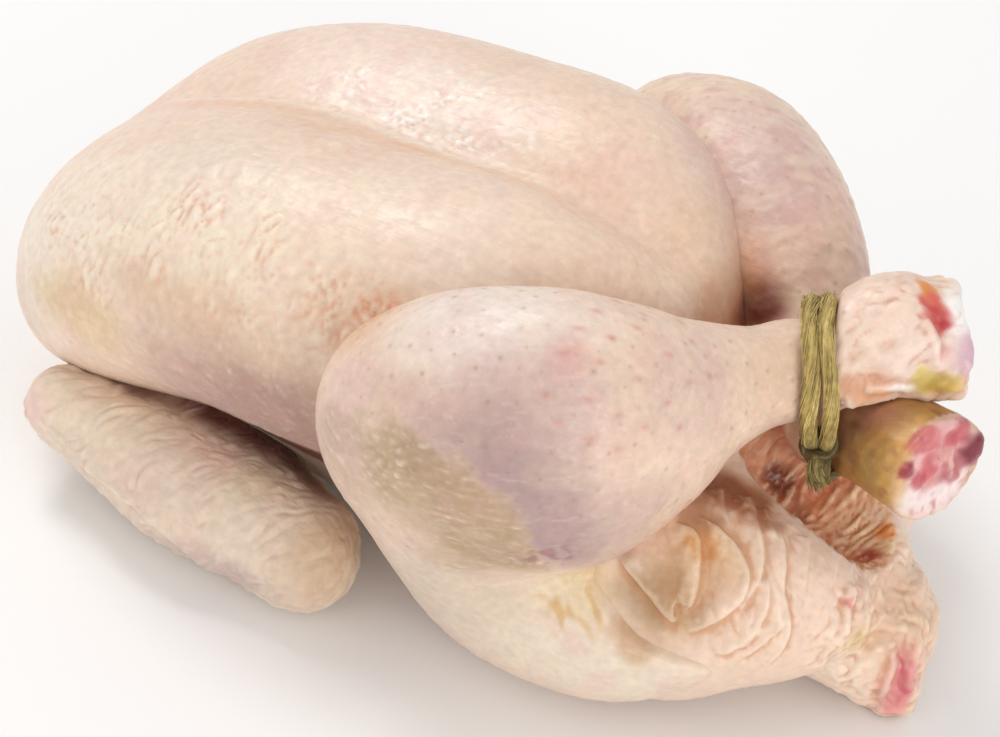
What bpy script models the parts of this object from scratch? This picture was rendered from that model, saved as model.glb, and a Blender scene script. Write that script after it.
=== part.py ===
"""Whole raw chicken, oven ready, lying on its back with its crossed legs tied together by a loop of twine.

+X points to the tail, +Y to the far side, +Z up. The bird rests on z = 0 and the middle of its
bounding box's bottom face is the origin. Sizes below are millimetres.
"""
import bpy
import bmesh
import math
from mathutils import Vector, Matrix

MM = 0.001

# ---------------------------------------------------------------- sizes
# Each limb is a row of oval sections along its own middle line:
# x, y, z of the middle, half width across, half height.
BACK = [                      # rib cage, back and pelvis
    (-101, -1, 43, 40, 25),   # neck end, its skin drawn under
    (-85, -2, 46, 38, 35),    # shoulders
    (-52, -3, 44, 38, 42),
    (-13, -3, 41, 41, 43),    # ribs
    (31, -4, 37, 42, 39),     # loin
    (71, -4, 32, 37, 30),     # pelvis
    (95, -2, 26, 25, 18),     # root of the tail
]
BREAST = [                    # one breast lobe; the other mirrors it
    (-95, -30, 45, 25, 23),
    (-83, -28, 55, 33, 31),
    (-56, -26, 66, 39, 35),
    (-19, -27, 69, 38, 37),
    (15, -24, 72, 32, 36),
    (38, -12, 67, 19, 30),    # tip of the breast bone
]
KEEL = [                      # the meat over the breast bone, just below the two lobes
    (-90, 0, 50, 16, 24),
    (-52, 0, 69, 16, 25),
    (-8, 0, 73, 16, 25),
    (30, 0, 71, 15, 25),
    (42, 0, 64, 12, 22),
]
NEAR_DRUM = [                 # knee to ankle
    (15, -61, 75, 25, 24),
    (30, -60, 78, 27, 32),
    (46, -54, 79, 26, 35),
    (57, -43, 80, 22, 28),
    (66, -31, 83, 16, 19),
    (80, -8, 83, 11, 10),
]
NEAR_HOCK = [
    (80, -8, 83, 11, 10),
    (88, -6, 86, 9, 11),
    (96, 6, 91, 14, 14),
    (110, 18, 90, 17, 12),    # cut joint
]
FAR_DRUM = [
    (15, 65, 74, 24, 22),
    (30, 58, 74, 26, 28),
    (45, 48, 72, 24, 29),
    (58, 37, 70, 20, 25),
    (70, 25, 68, 15, 17),
    (88, 6, 64, 11, 11),
]
FAR_HOCK = [
    (88, 6, 64, 11, 11),
    (97, 1, 66, 12, 11),
    (120, -8, 72, 15, 13),    # cut joint
]
THIGH = [                     # near side; the far one mirrors it
    (20, -47, 48, 16, 24),
    (35, -44, 31, 27, 26),
    (57, -44, 31, 27, 23),
    (72, -41, 37, 24, 23),
]
FLANK = [                     # fills the thigh out to the drumstick
    (18, -53, 60, 22, 24),
    (34, -52, 54, 25, 24),
    (50, -48, 50, 20, 20),
]
NEAR_RUMP = [                 # loose skin beside the vent
    (69, -33, 24, 19, 23),
    (82, -29, 31, 18, 20),
    (103, -24, 32, 11, 12),
]
FAR_RUMP = [
    (60, 34, 25, 20, 24),
    (76, 30, 30, 18, 20),
    (95, 24, 28, 11, 12),
]
TAIL = [                      # parson's nose
    (86, -1, 22, 24, 17),
    (101, -4, 19, 23, 16),
    (111, -7, 15, 17, 13),
    (118, -9, 4, 6, 9),
]
FOREARM = [                   # near wing, wrist to elbow; the far one mirrors it
    (-91, -55, 22, 10, 11),
    (-79, -56, 21, 12, 12),
    (-54, -59, 18, 15, 16),
    (-16, -61, 15, 13, 14),
]
UPPER_ARM = [
    (-84, -30, 40, 14, 14),
    (-50, -43, 29, 13, 12),
    (-18, -54, 17, 12, 12),
]
CENTRE_X, CENTRE_Y = -0.4, 0.6 # middle of the finished bird's outline, which becomes the origin
VENT_AT, VENT_SIZE, VENT_TURN = (90, 3, 49), (28, 11.5, 17), 8   # middle, half sizes, degrees about Y

SKIN_GRID = 2.4               # the limbs are fused on a grid this fine
SKIN_RELAX = 9                # rounds of smoothing where the limbs meet
SKIN_KEEP = 0.118              # share of the faces kept

# the tie: middle line of a pair of strands round both ankles, then a knot and two short ends
TIE_LOOP = [
    (82, 0, 98), (86.5, -11, 98.5), (92, -18, 89), (93, -17, 77), (92.5, -11.5, 62.5),
    (90, -1, 50.5), (90, 10, 50.5), (92.5, 21, 62), (88, 18.5, 78), (80, 7, 91.5),
]
STRAND = 2.1                  # radius of one strand
STRAND_STEP = 2.15            # each strand's offset from the middle line
GAP = 0.45                    # between twine and skin
KNOT_AT, KNOT_SIZE = (93.5, -14, 61.5), (4.4, 3.6, 4.4)
ENDS = [
    [(94, -14.5, 61), (96, -15.5, 57), (97, -15, 53)],
    [(93.5, -14.5, 60), (92.5, -16.5, 56.5), (90.5, -18, 54.5)],
]


# ---------------------------------------------------------------- helpers
def spline(rows, steps, closed=False):
    """A smooth row of values through the given rows (Catmull-Rom)."""
    n = len(rows)
    if closed:
        get = lambda i: rows[i % n]
        spans = n
    else:
        first = [2 * a - b for a, b in zip(rows[0], rows[1])]
        last = [2 * a - b for a, b in zip(rows[-1], rows[-2])]
        get = lambda i: first if i < 0 else last if i >= n else rows[i]
        spans = n - 1
    out = []
    for i in range(spans):
        a, b, c, d = get(i - 1), get(i), get(i + 1), get(i + 2)
        for k in range(steps):
            t = k / steps
            out.append([0.5 * (2 * q + (r - p) * t + (2 * p - 5 * q + 4 * r - s) * t * t
                               + (3 * q - p - 3 * r + s) * t ** 3)
                        for p, q, r, s in zip(a, b, c, d)])
    if not closed:
        out.append(list(rows[-1]))
    return out


def ring(bm, centre, along, up, a, b, sides):
    """One oval ring of vertices, square to the middle line."""
    across = along.cross(up).normalized()
    rise = across.cross(along).normalized()
    return [bm.verts.new((centre + across * (a * math.cos(2 * math.pi * k / sides))
                          + rise * (b * math.sin(2 * math.pi * k / sides))) * MM)
            for k in range(sides)]


def limb(bm, rows, up=(0, 0, 1), sides=28, flat_end=False):
    """A closed tube through the sections, with round ends or a cut one."""
    up = Vector(up)
    s = spline(rows, 5)
    mid = [Vector(r[:3]) for r in s]
    size = [(max(r[3], 4), max(r[4], 4)) for r in s]
    way = [(mid[min(i + 1, len(mid) - 1)] - mid[max(i - 1, 0)]).normalized() for i in range(len(mid))]
    rings = []
    caps = [math.radians(d) for d in (12, 30, 48, 66, 82)]
    r0, r1 = min(size[0]), min(size[-1])
    for d in reversed(caps):
        rings.append(ring(bm, mid[0] - way[0] * r0 * math.sin(d), way[0], up,
                          size[0][0] * math.cos(d), size[0][1] * math.cos(d), sides))
    for c, w, (a, b) in zip(mid, way, size):
        rings.append(ring(bm, c, w, up, a, b, sides))
    if not flat_end:
        for d in caps:
            rings.append(ring(bm, mid[-1] + way[-1] * r1 * math.sin(d), way[-1], up,
                              size[-1][0] * math.cos(d), size[-1][1] * math.cos(d), sides))
    for p, q in zip(rings, rings[1:]):
        for k in range(sides):
            bm.faces.new((p[k], q[k], q[(k + 1) % sides], p[(k + 1) % sides]))
    bm.faces.new(rings[0])
    bm.faces.new(list(reversed(rings[-1])))


def mirrored(rows):
    return [(x, -y, z, a, b) for x, y, z, a, b in rows]


def new_object(name, bm, material=None, helper=False):
    bmesh.ops.recalc_face_normals(bm, faces=bm.faces[:])
    mesh = bpy.data.meshes.new(name)
    bm.to_mesh(mesh)
    bm.free()
    obj = bpy.data.objects.new(name, mesh)
    bpy.context.scene.collection.objects.link(obj)
    if material:
        mesh.materials.append(material)
    if helper:
        obj.hide_render = True
        obj.display_type = 'WIRE'
    return obj


def plain_material(name, colour, rough):
    m = bpy.data.materials.new(name)
    m.use_nodes = True
    shader = m.node_tree.nodes["Principled BSDF"]
    shader.inputs["Base Color"].default_value = (*colour, 1)
    shader.inputs["Roughness"].default_value = rough
    shader.inputs["Metallic"].default_value = 0
    return m


def remesh(obj, size, relax, keep):
    """Fuses everything in the object to one closed skin, rounds the creases and thins the faces."""
    m = obj.modifiers.new("fuse", 'REMESH')
    m.mode = 'VOXEL'
    m.voxel_size = size * MM
    m.adaptivity = 0
    m = obj.modifiers.new("round", 'SMOOTH')
    m.factor = 0.5
    m.iterations = relax
    m = obj.modifiers.new("thin", 'DECIMATE')
    m.decimate_type = 'COLLAPSE'
    m.ratio = keep
    m.use_collapse_triangulate = True


def cut(obj, cutter):
    m = obj.modifiers.new("cut " + cutter.name, 'BOOLEAN')
    m.operation = 'DIFFERENCE'
    m.solver = 'EXACT'
    m.object = cutter


def loop_frame(steps):
    """Middle line of the tie, with its direction and the sideways step between its strands."""
    path = [Vector(p) for p in spline(TIE_LOOP, steps, closed=True)]
    heart = sum(path, Vector()) / len(path)
    out = []
    for i, p in enumerate(path):
        way = (path[(i + 1) % len(path)] - path[i - 1]).normalized()
        away = (p - heart)
        side = way.cross(away).normalized()
        out.append((p, way, side))
    return out


def strand(bm, offset, radius, steps, sides):
    """A closed ring of twine beside the middle line."""
    rings = []
    for p, way, side in loop_frame(steps):
        out = side.cross(way).normalized()
        c = p + side * offset
        rings.append([bm.verts.new((c + side * (radius * math.cos(2 * math.pi * k / sides))
                                    + out * (radius * math.sin(2 * math.pi * k / sides))) * MM)
                      for k in range(sides)])
    n = len(rings)
    for i in range(n):
        p, q = rings[i], rings[(i + 1) % n]
        for k in range(sides):
            bm.faces.new((p[k], q[k], q[(k + 1) % sides], p[(k + 1) % sides]))


# ---------------------------------------------------------------- model
def build():
    for o in list(bpy.data.objects):
        bpy.data.objects.remove(o, do_unlink=True)

    skin = plain_material("skin", (0.80, 0.62, 0.50), 0.45)
    jute = plain_material("jute", (0.36, 0.31, 0.14), 0.85)

    # the bird: all limbs in one mesh, fused
    bm = bmesh.new()
    limb(bm, BACK, sides=40)
    limb(bm, BREAST, sides=36)
    limb(bm, mirrored(BREAST), sides=36)
    limb(bm, KEEL)
    limb(bm, NEAR_DRUM)
    limb(bm, NEAR_HOCK, flat_end=True)
    limb(bm, FAR_DRUM)
    limb(bm, FAR_HOCK, flat_end=True)
    for rows in (THIGH, mirrored(THIGH)):
        limb(bm, rows, up=(0, -1 if rows[0][1] < 0 else 1, 0.2))
    for rows in (FLANK, mirrored(FLANK)):
        limb(bm, rows)
    limb(bm, NEAR_RUMP)
    limb(bm, FAR_RUMP)
    limb(bm, TAIL)
    for rows in (FOREARM, UPPER_ARM):
        limb(bm, rows, sides=24)
        limb(bm, mirrored(rows), sides=24)
    bird = new_object("chicken", bm, skin)
    remesh(bird, SKIN_GRID, SKIN_RELAX, SKIN_KEEP)

    # the vent, a short blind hollow between the two sides of the rump
    bm = bmesh.new()
    bmesh.ops.create_icosphere(bm, subdivisions=3, radius=1)
    shape = (Matrix.Translation(Vector(VENT_AT) * MM) @ Matrix.Rotation(math.radians(VENT_TURN), 4, 'Y')
             @ Matrix.Diagonal(Vector(VENT_SIZE) * MM).to_4x4())
    bmesh.ops.transform(bm, matrix=shape, verts=bm.verts[:])
    vent = new_object("vent_cutter", bm, helper=True)
    cut(bird, vent)

    # the flat places on its back, thighs and wings where it rests
    bm = bmesh.new()
    bmesh.ops.create_cube(bm, size=1, matrix=Matrix.Translation((0, 0, -0.05)) @ Matrix.Diagonal((0.4, 0.4, 0.1, 1)))
    floor = new_object("floor_cutter", bm, helper=True)
    cut(bird, floor)

    # the groove that the tie presses into the ankles
    bm = bmesh.new()
    strand(bm, STRAND_STEP, STRAND + GAP, 4, 10)
    groove_a = new_object("groove_cutter_a", bm, helper=True)
    bm = bmesh.new()
    strand(bm, -STRAND_STEP, STRAND + GAP, 4, 10)
    groove_b = new_object("groove_cutter_b", bm, helper=True)
    bm = bmesh.new()
    bmesh.ops.create_icosphere(bm, subdivisions=2, radius=1)
    shape = (Matrix.Translation(Vector(KNOT_AT) * MM)
             @ Matrix.Diagonal((Vector(KNOT_SIZE) + Vector((GAP, GAP, GAP)) * 1.6) * MM).to_4x4())
    bmesh.ops.transform(bm, matrix=shape, verts=bm.verts[:])
    groove_k = new_object("groove_cutter_knot", bm, helper=True)
    for g in (groove_a, groove_b, groove_k):
        cut(bird, g)

    # the tie: two rings, a knot and two ends, fused
    bm = bmesh.new()
    strand(bm, STRAND_STEP, STRAND, 5, 12)
    strand(bm, -STRAND_STEP, STRAND, 5, 12)
    knot = bmesh.ops.create_icosphere(bm, subdivisions=2, radius=1)
    shape = Matrix.Translation(Vector(KNOT_AT) * MM) @ Matrix.Diagonal(Vector(KNOT_SIZE) * MM).to_4x4()
    bmesh.ops.transform(bm, matrix=shape, verts=knot["verts"])
    for pts in ENDS:
        rows = [(*p, 1.7, 1.7) for p in pts]
        tie_end(bm, rows)
    tie = new_object("twine", bm, jute)
    m = tie.modifiers.new("fuse", 'REMESH')
    m.mode = 'VOXEL'
    m.voxel_size = 0.6 * MM
    m = tie.modifiers.new("thin", 'DECIMATE')
    m.decimate_type = 'COLLAPSE'
    m.ratio = 0.048
    m.use_collapse_triangulate = True

    frame = bpy.data.objects.new("bird_frame", None)
    bpy.context.scene.collection.objects.link(frame)
    frame.location = (-CENTRE_X * MM, -CENTRE_Y * MM, 0)
    for o in (bird, tie, vent, floor, groove_a, groove_b, groove_k):
        o.parent = frame
    for o in (bird, tie):
        o.data.shade_smooth()


def tie_end(bm, rows, sides=10):
    """A short free end of the twine."""
    s = spline(rows, 4)
    mid = [Vector(r[:3]) for r in s]
    rings = []
    for i, c in enumerate(mid):
        w = (mid[min(i + 1, len(mid) - 1)] - mid[max(i - 1, 0)]).normalized()
        rings.append(ring(bm, c, w, Vector((0, 1, 0)), s[i][3], s[i][4], sides))
    for p, q in zip(rings, rings[1:]):
        for k in range(sides):
            bm.faces.new((p[k], q[k], q[(k + 1) % sides], p[(k + 1) % sides]))
    bm.faces.new(rings[0])
    bm.faces.new(list(reversed(rings[-1])))


build()
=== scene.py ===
"""The looks of a whole raw chicken on its back, its crossed legs tied with twine.

Sizes are millimetres unless said. +X points to the tail, +Y to the far side, +Z up out of the breast.
"""
import math
import bpy
import numpy as np
from mathutils import Vector, Matrix
from mathutils.kdtree import KDTree


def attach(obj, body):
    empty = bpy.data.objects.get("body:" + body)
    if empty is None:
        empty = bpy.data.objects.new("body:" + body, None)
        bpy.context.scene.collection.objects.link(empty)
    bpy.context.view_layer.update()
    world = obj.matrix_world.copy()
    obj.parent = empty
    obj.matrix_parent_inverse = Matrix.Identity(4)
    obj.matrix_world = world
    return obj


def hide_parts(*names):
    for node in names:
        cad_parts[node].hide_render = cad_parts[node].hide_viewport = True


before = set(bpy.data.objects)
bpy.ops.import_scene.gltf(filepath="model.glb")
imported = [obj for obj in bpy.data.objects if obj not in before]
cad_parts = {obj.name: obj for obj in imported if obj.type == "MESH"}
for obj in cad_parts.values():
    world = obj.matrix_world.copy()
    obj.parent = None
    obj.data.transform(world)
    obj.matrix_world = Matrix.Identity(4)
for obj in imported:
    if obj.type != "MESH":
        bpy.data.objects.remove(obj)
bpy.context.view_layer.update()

MM = 0.001
SHIFT = np.array([0.4, -0.6, 0.0])      # from the section tables to the part's origin

# ------------------------------------------------------------------ sections
# x, y, z of the middle line, half width across, half height
BACK = [
    (-101, -1, 43, 40, 25), (-85, -2, 46, 38, 35), (-52, -3, 44, 38, 42), (-13, -3, 41, 41, 43),
    (31, -4, 37, 42, 39), (71, -4, 32, 37, 30), (95, -2, 27, 25, 19),
]
BREAST = [
    (-95, -30.5, 44.5, 25, 22.5), (-83.5, -28.5, 55, 32.5, 31), (-56, -26, 65.5, 39, 35),
    (-19.5, -27, 69, 38, 37), (14.5, -24.5, 72.5, 32, 36.5), (38.5, -12, 66.5, 18.5, 29.5),
]
NEAR_DRUM = [
    (15, -61.5, 75, 25, 23.5), (30, -60.5, 78, 27.5, 31.5), (46, -54, 78.5, 26, 35), (57, -42.5, 80.5, 21.5, 28),
    (65, -32.5, 83, 16, 19.5), (73, -20, 83.5, 12.5, 13), (80.5, -7.5, 83, 11, 9.5),
]
NEAR_HOCK = [
    (80.5, -7.5, 83, 11, 9.5), (88, -6.5, 86.5, 8.5, 11), (92, -0.5, 88.5, 11, 13), (96.5, 6.5, 91, 14, 14.5),
    (102, 12, 89.5, 16, 13.5), (109.5, 17.5, 90, 17, 12),
]
THIGH = [
    (19, -48, 49, 13.5, 23.5), (22, -44, 40, 21.5, 26.5), (35, -44, 30.5, 27, 26), (56.5, -44.5, 30.5, 27.5, 22.5),
    (72, -41.5, 37, 24.5, 23),
]
FAR_DRUM = [
    (15, 65.5, 74.5, 23.5, 21.5), (29.5, 58.5, 74.5, 25.5, 28), (45, 48, 72, 24, 29), (58.5, 36.5, 70.5, 20.5, 24.5),
    (70, 25, 67.5, 15.5, 17), (80.5, 13, 65, 12, 12.5), (89.5, 4, 63.5, 11, 10.5),
]
FAR_HOCK = [
    (89.5, 4, 63.5, 11, 10.5), (96.5, 1, 66.5, 11.5, 11), (103.5, -1.5, 69, 12.5, 12), (111.5, -5, 71, 13.5, 12.5),
    (120, -8, 72, 14.5, 12.5),
]
NEAR_RUMP = [(50, -39, 33, 22, 27), (68, -39, 33, 23, 29), (81, -34, 35, 22, 25), (94.5, -28, 33.5, 17, 19.5), (104, -24, 33, 11.5, 12.5)]
FAR_RUMP = [(60, 34, 24, 20, 24), (72, 31, 30, 18.5, 20), (85, 28, 30, 16, 17), (95, 24, 28, 11, 12)]
TAIL = [(86.5, -1, 22, 24, 17.5), (100.5, -3.5, 19, 23, 16), (110, -6.5, 17, 19, 14.5), (115, -8.5, 10, 11, 11), (118, -9.5, 2.5, 5.5, 9.5)]
FOREARM = [(-91.5, -55.5, 22, 10, 10.5), (-79.5, -56, 21, 12, 12), (-54.5, -59, 18, 15, 15.5), (-30.5, -60, 16.5, 14, 15), (-15.5, -61, 15, 13.5, 14.5)]
UPPER_ARM = [(-84, -34, 30, 12, 12), (-58, -42, 22, 12, 12), (-34, -50, 17, 12, 12), (-18, -55, 14, 12, 12)]
VENT = ((94, -3, 57), (27, 17.5, 23), 10)                   # middle, half sizes, degrees about Y
# where the loose skin of the rump sinks in between the thigh and the drumstick
POCKET = [(69, -64, 69, 17, 22), (76, -65, 65, 23, 24), (84, -63, 60, 26, 24), (93, -54, 56, 24, 24), (103, -42, 50, 18, 24)]

# the tie: middle line of the pair of strands, the strands' radius and their step to each side
TIE_LOOP = [
    (82, 0, 98), (86.5, -11, 98.5), (92, -18, 89), (93, -17, 77), (92.5, -11.5, 62.5),
    (90, -1, 50.5), (90, 10, 50.5), (92.5, 21, 62), (88, 18.5, 78), (80, 7, 91.5),
]
STRAND, STRAND_STEP = 2.1, 2.15
KNOT_S = 0.305                      # the knot's place round the loop
TIE_ENDS = [
    [(93.6, -17.5, 71), (94.8, -18.2, 66), (95.8, -17.8, 62.5)],
    [(93.6, -17.8, 70.5), (94.0, -19.2, 67.5), (94.6, -19.4, 65)],
]

# directions that the skin's wrinkles run in
ALONG = (0.85, 0.52, 0.07)          # with the bird's length, seen from above its near side
OVER = (0.11, 0.69, 0.72)           # up over the breast, square to the breast bone
UPRIGHT = (-0.36, 0.50, 0.79)       # straight up the side
WINGWISE = (0.58, 0.69, 0.43)       # slantwise over the wing


# ------------------------------------------------------------------ numbers
def unit(v):
    v = np.asarray(v, float)
    return v / np.maximum(np.linalg.norm(v, axis=-1, keepdims=True), 1e-12)


def smooth(a, b, x):
    t = np.clip((x - a) / (b - a), 0, 1)
    return t * t * (3 - 2 * t)


def curve(rows, steps, closed=False):
    """Rows along a smooth curve through the given rows."""
    p = np.asarray(rows, float)
    if closed:
        p = np.vstack([p[-1:], p, p[:2]])
    else:
        p = np.vstack([2 * p[0] - p[1], p, 2 * p[-1] - p[-2]])
    out = []
    for i in range(len(p) - 3):
        a, b, c, d = p[i:i + 4]
        t = np.linspace(0, 1, steps, endpoint=False)[:, None]
        out.append(0.5 * (2 * b + (c - a) * t + (2 * a - 5 * b + 4 * c - d) * t * t + (3 * b - a - 3 * c + d) * t ** 3))
    if not closed:
        out.append(p[-2][None])
    return np.vstack(out)


def turned(degrees):
    """Own axes, as rows, of something turned about Y."""
    a = math.radians(degrees)
    return np.array([[math.cos(a), 0, -math.sin(a)], [0, 1, 0], [math.sin(a), 0, math.cos(a)]])


def mirrored(rows):
    s = np.array(rows, float)
    s[:, 1] *= -1
    return s


# ------------------------------------------------------------------ solid shapes, as distances
def oval(P, at, size, turn=0.0):
    q = (P - np.asarray(at, np.float32)) @ turned(turn).T.astype(np.float32)
    r = np.asarray(size, np.float32)
    k0 = np.sqrt(((q / r) ** 2).sum(-1))
    k1 = np.sqrt(((q / (r * r)) ** 2).sum(-1)) + 1e-9
    return k0 * (k0 - 1) / k1


def sweep(P, rows, up=(0, 0, 1), steps=6, reach=14.0):
    """Near-distance to a limb with oval sections."""
    s = curve(rows, steps)
    c, a, b = s[:, :3], s[:, 3], s[:, 4]
    lo = (c - np.maximum(a, b)[:, None]).min(0)
    hi = (c + np.maximum(a, b)[:, None]).max(0)
    out = (np.sqrt((np.maximum(0, np.maximum(lo - P, P - hi)) ** 2).sum(-1)) + reach * 0.5).astype(np.float32)
    near = np.where((P > lo - reach).all(-1) & (P < hi + reach).all(-1))[0]
    if len(near) == 0:
        return out
    Q = P[near]
    best = np.full(len(Q), 1e9, np.float32)
    for i in range(len(c) - 1):
        d = c[i + 1] - c[i]
        length = float(np.linalg.norm(d))
        if length < 1e-6:
            continue
        e = d / length
        w = np.cross(e, up)
        w = w / np.linalg.norm(w)
        u = np.cross(w, e)
        q = Q - c[i].astype(np.float32)
        t = np.clip(q @ (e / length).astype(np.float32), 0, 1)
        ra = a[i] + (a[i + 1] - a[i]) * t
        rb = b[i] + (b[i + 1] - b[i]) * t
        rc = np.minimum(ra, rb)
        x = (q @ w.astype(np.float32)) / ra
        y = (q @ u.astype(np.float32)) / rb
        z = (q @ e.astype(np.float32) - t * length) / rc
        k0 = np.sqrt(x * x + y * y + z * z)
        k1 = np.sqrt((x / ra) ** 2 + (y / rb) ** 2 + (z / rc) ** 2) + 1e-9
        best = np.minimum(best, k0 * (k0 - 1) / k1)
    out[near] = best
    return out


def smin(a, b, k):
    h = np.maximum(k - np.abs(a - b), 0) / k
    return np.minimum(a, b) - h * h * k * 0.25


def smax(a, b, k):
    return -smin(-a, -b, k)


def cut_end(f, P, rows, k=2):
    s = np.asarray(rows, float)
    e = unit(s[-1, :3] - s[-2, :3]).astype(np.float32)
    return smax(f, (P - s[-1, :3].astype(np.float32)) @ e, k)


def line_distance(P, points, steps=6, closed=False):
    """Distance to a smooth curve, and how far along it the nearest place is, from 0 to 1."""
    c = curve(points, steps, closed)
    if closed:
        c = np.vstack([c, c[:1]])
    best = np.full(len(P), 1e9)
    where = np.zeros(len(P))
    n = len(c) - 1
    for i in range(n):
        d = c[i + 1] - c[i]
        q = P - c[i]
        t = np.clip((q @ d) / max(d @ d, 1e-9), 0, 1)
        r = np.sqrt(((q - t[:, None] * d) ** 2).sum(-1))
        m = r < best
        best[m] = r[m]
        where[m] = (i + t[m]) / n
    return best, where


# ------------------------------------------------------------------ noise
def _hash(ix, iy, iz, seed):
    h = (ix.astype(np.uint32) * np.uint32(0x8DA6B343)) ^ (iy.astype(np.uint32) * np.uint32(0xD8163841)) \
        ^ (iz.astype(np.uint32) * np.uint32(0xCB1AB31F)) ^ np.uint32(seed * 7919 + 12345)
    h ^= h >> np.uint32(15)
    h *= np.uint32(0x2C1B3C6D)
    h ^= h >> np.uint32(12)
    h *= np.uint32(0x297A2D39)
    h ^= h >> np.uint32(15)
    return h


def noise(q, seed=0):
    """Smooth noise between about -1 and 1, with lumps one unit wide."""
    i = np.floor(q).astype(np.int64)
    f = (q - i).astype(np.float32)
    u = f * f * f * (f * (f * 6 - 15) + 10)
    total = np.zeros(len(q), np.float32)
    for cx in (0, 1):
        for cy in (0, 1):
            for cz in (0, 1):
                h = _hash(i[:, 0] + cx, i[:, 1] + cy, i[:, 2] + cz, seed)
                gx = (h & np.uint32(1023)).astype(np.float32) / 511.5 - 1
                gy = ((h >> np.uint32(10)) & np.uint32(1023)).astype(np.float32) / 511.5 - 1
                gz = ((h >> np.uint32(20)) & np.uint32(1023)).astype(np.float32) / 511.5 - 1
                w = (u[:, 0] if cx else 1 - u[:, 0]) * (u[:, 1] if cy else 1 - u[:, 1]) * (u[:, 2] if cz else 1 - u[:, 2])
                total += w * (gx * (f[:, 0] - cx) + gy * (f[:, 1] - cy) + gz * (f[:, 2] - cz))
    return total * 1.5


def stretch(P, way, length, width):
    """Coordinates in which lumps of that length and width, lying along way, are one unit across."""
    w = unit(way)
    a = P @ w
    return (P - a[:, None] * w) / width + a[:, None] * w / length


def warp(P, size, by, seed):
    """Positions shaken by smooth noise, so that what is drawn with them wanders."""
    return P + by * np.stack([noise(P / size, seed), noise(P / size, seed + 1), noise(P / size, seed + 2)], -1)


def spot(P, at, size, edge=0.6, turn=0.0):
    """1 inside an oval place, falling to 0 at its border."""
    q = (P - np.asarray(at, float)) @ turned(turn).T / np.asarray(size, float)
    return 1 - smooth(1 - edge, 1 + edge * 0.3, np.sqrt((q * q).sum(-1)))


# ------------------------------------------------------------------ meshes
def surface(f, lo, hi, h):
    """A closed four-sided mesh round f < 0, on a grid of size h."""
    lo = np.asarray(lo, float)
    n = np.ceil((np.asarray(hi, float) - lo) / h).astype(int) + 1
    g = np.stack(np.meshgrid(*[lo[i] + h * np.arange(n[i]) for i in range(3)], indexing="ij"), -1)
    F = f(g.reshape(-1, 3).astype(np.float32)).reshape(n)
    S = F < 0
    cells = tuple(x - 1 for x in F.shape)
    count = np.zeros(cells, np.int8)
    corners = [c for c in np.ndindex(2, 2, 2)]
    for c in corners:
        count += S[c[0]:cells[0] + c[0], c[1]:cells[1] + c[1], c[2]:cells[2] + c[2]]
    act = (count > 0) & (count < 8)
    I = np.argwhere(act)
    acc = np.zeros((len(I), 3))
    cnt = np.zeros(len(I))
    for c in corners:
        for ax in range(3):
            if c[ax] == 0:
                ca = np.array(c)
                cb = ca.copy()
                cb[ax] = 1
                fa = F[tuple((I + ca).T)].astype(float)
                fb = F[tuple((I + cb).T)].astype(float)
                m = (fa < 0) != (fb < 0)
                t = np.where(m, fa / np.where(m, fa - fb, 1), 0)
                acc += (ca + t[:, None] * (cb - ca)) * m[:, None]
                cnt += m
    V = lo + h * (I + acc / cnt[:, None])
    vid = np.full(act.shape, -1, np.int64)
    vid[act] = np.arange(len(I))
    quads = []
    for ax in range(3):
        a, b = (ax + 1) % 3, (ax + 2) % 3
        s = [slice(None)] * 3
        e = [slice(None)] * 3
        s[ax], e[ax] = slice(0, -1), slice(1, None)
        s[a] = e[a] = slice(1, -1)
        s[b] = e[b] = slice(1, -1)
        s0, s1 = S[tuple(s)], S[tuple(e)]
        E = np.argwhere(s0 != s1)
        first_in = s0[tuple(E.T)]
        E[:, a] += 1
        E[:, b] += 1

        def cell(da, db):
            C = E.copy()
            C[:, a] += da
            C[:, b] += db
            return vid[tuple(C.T)]
        q = np.stack([cell(-1, -1), cell(0, -1), cell(0, 0), cell(-1, 0)], 1)
        q[~first_in] = q[~first_in][:, ::-1]
        quads.append(q)
    return V, np.vstack(quads)


def settle(f, V, rounds=1, eps=0.35):
    """Moves points onto the surface f = 0."""
    V = V.astype(np.float32)
    for _ in range(rounds):
        v0 = f(V)
        g = np.stack([f(V + np.float32(eps) * d) - v0 for d in np.eye(3, dtype=np.float32)], -1) / eps
        V = V - g * (v0 / np.maximum((g * g).sum(-1), 0.3))[:, None]
    return V


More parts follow.
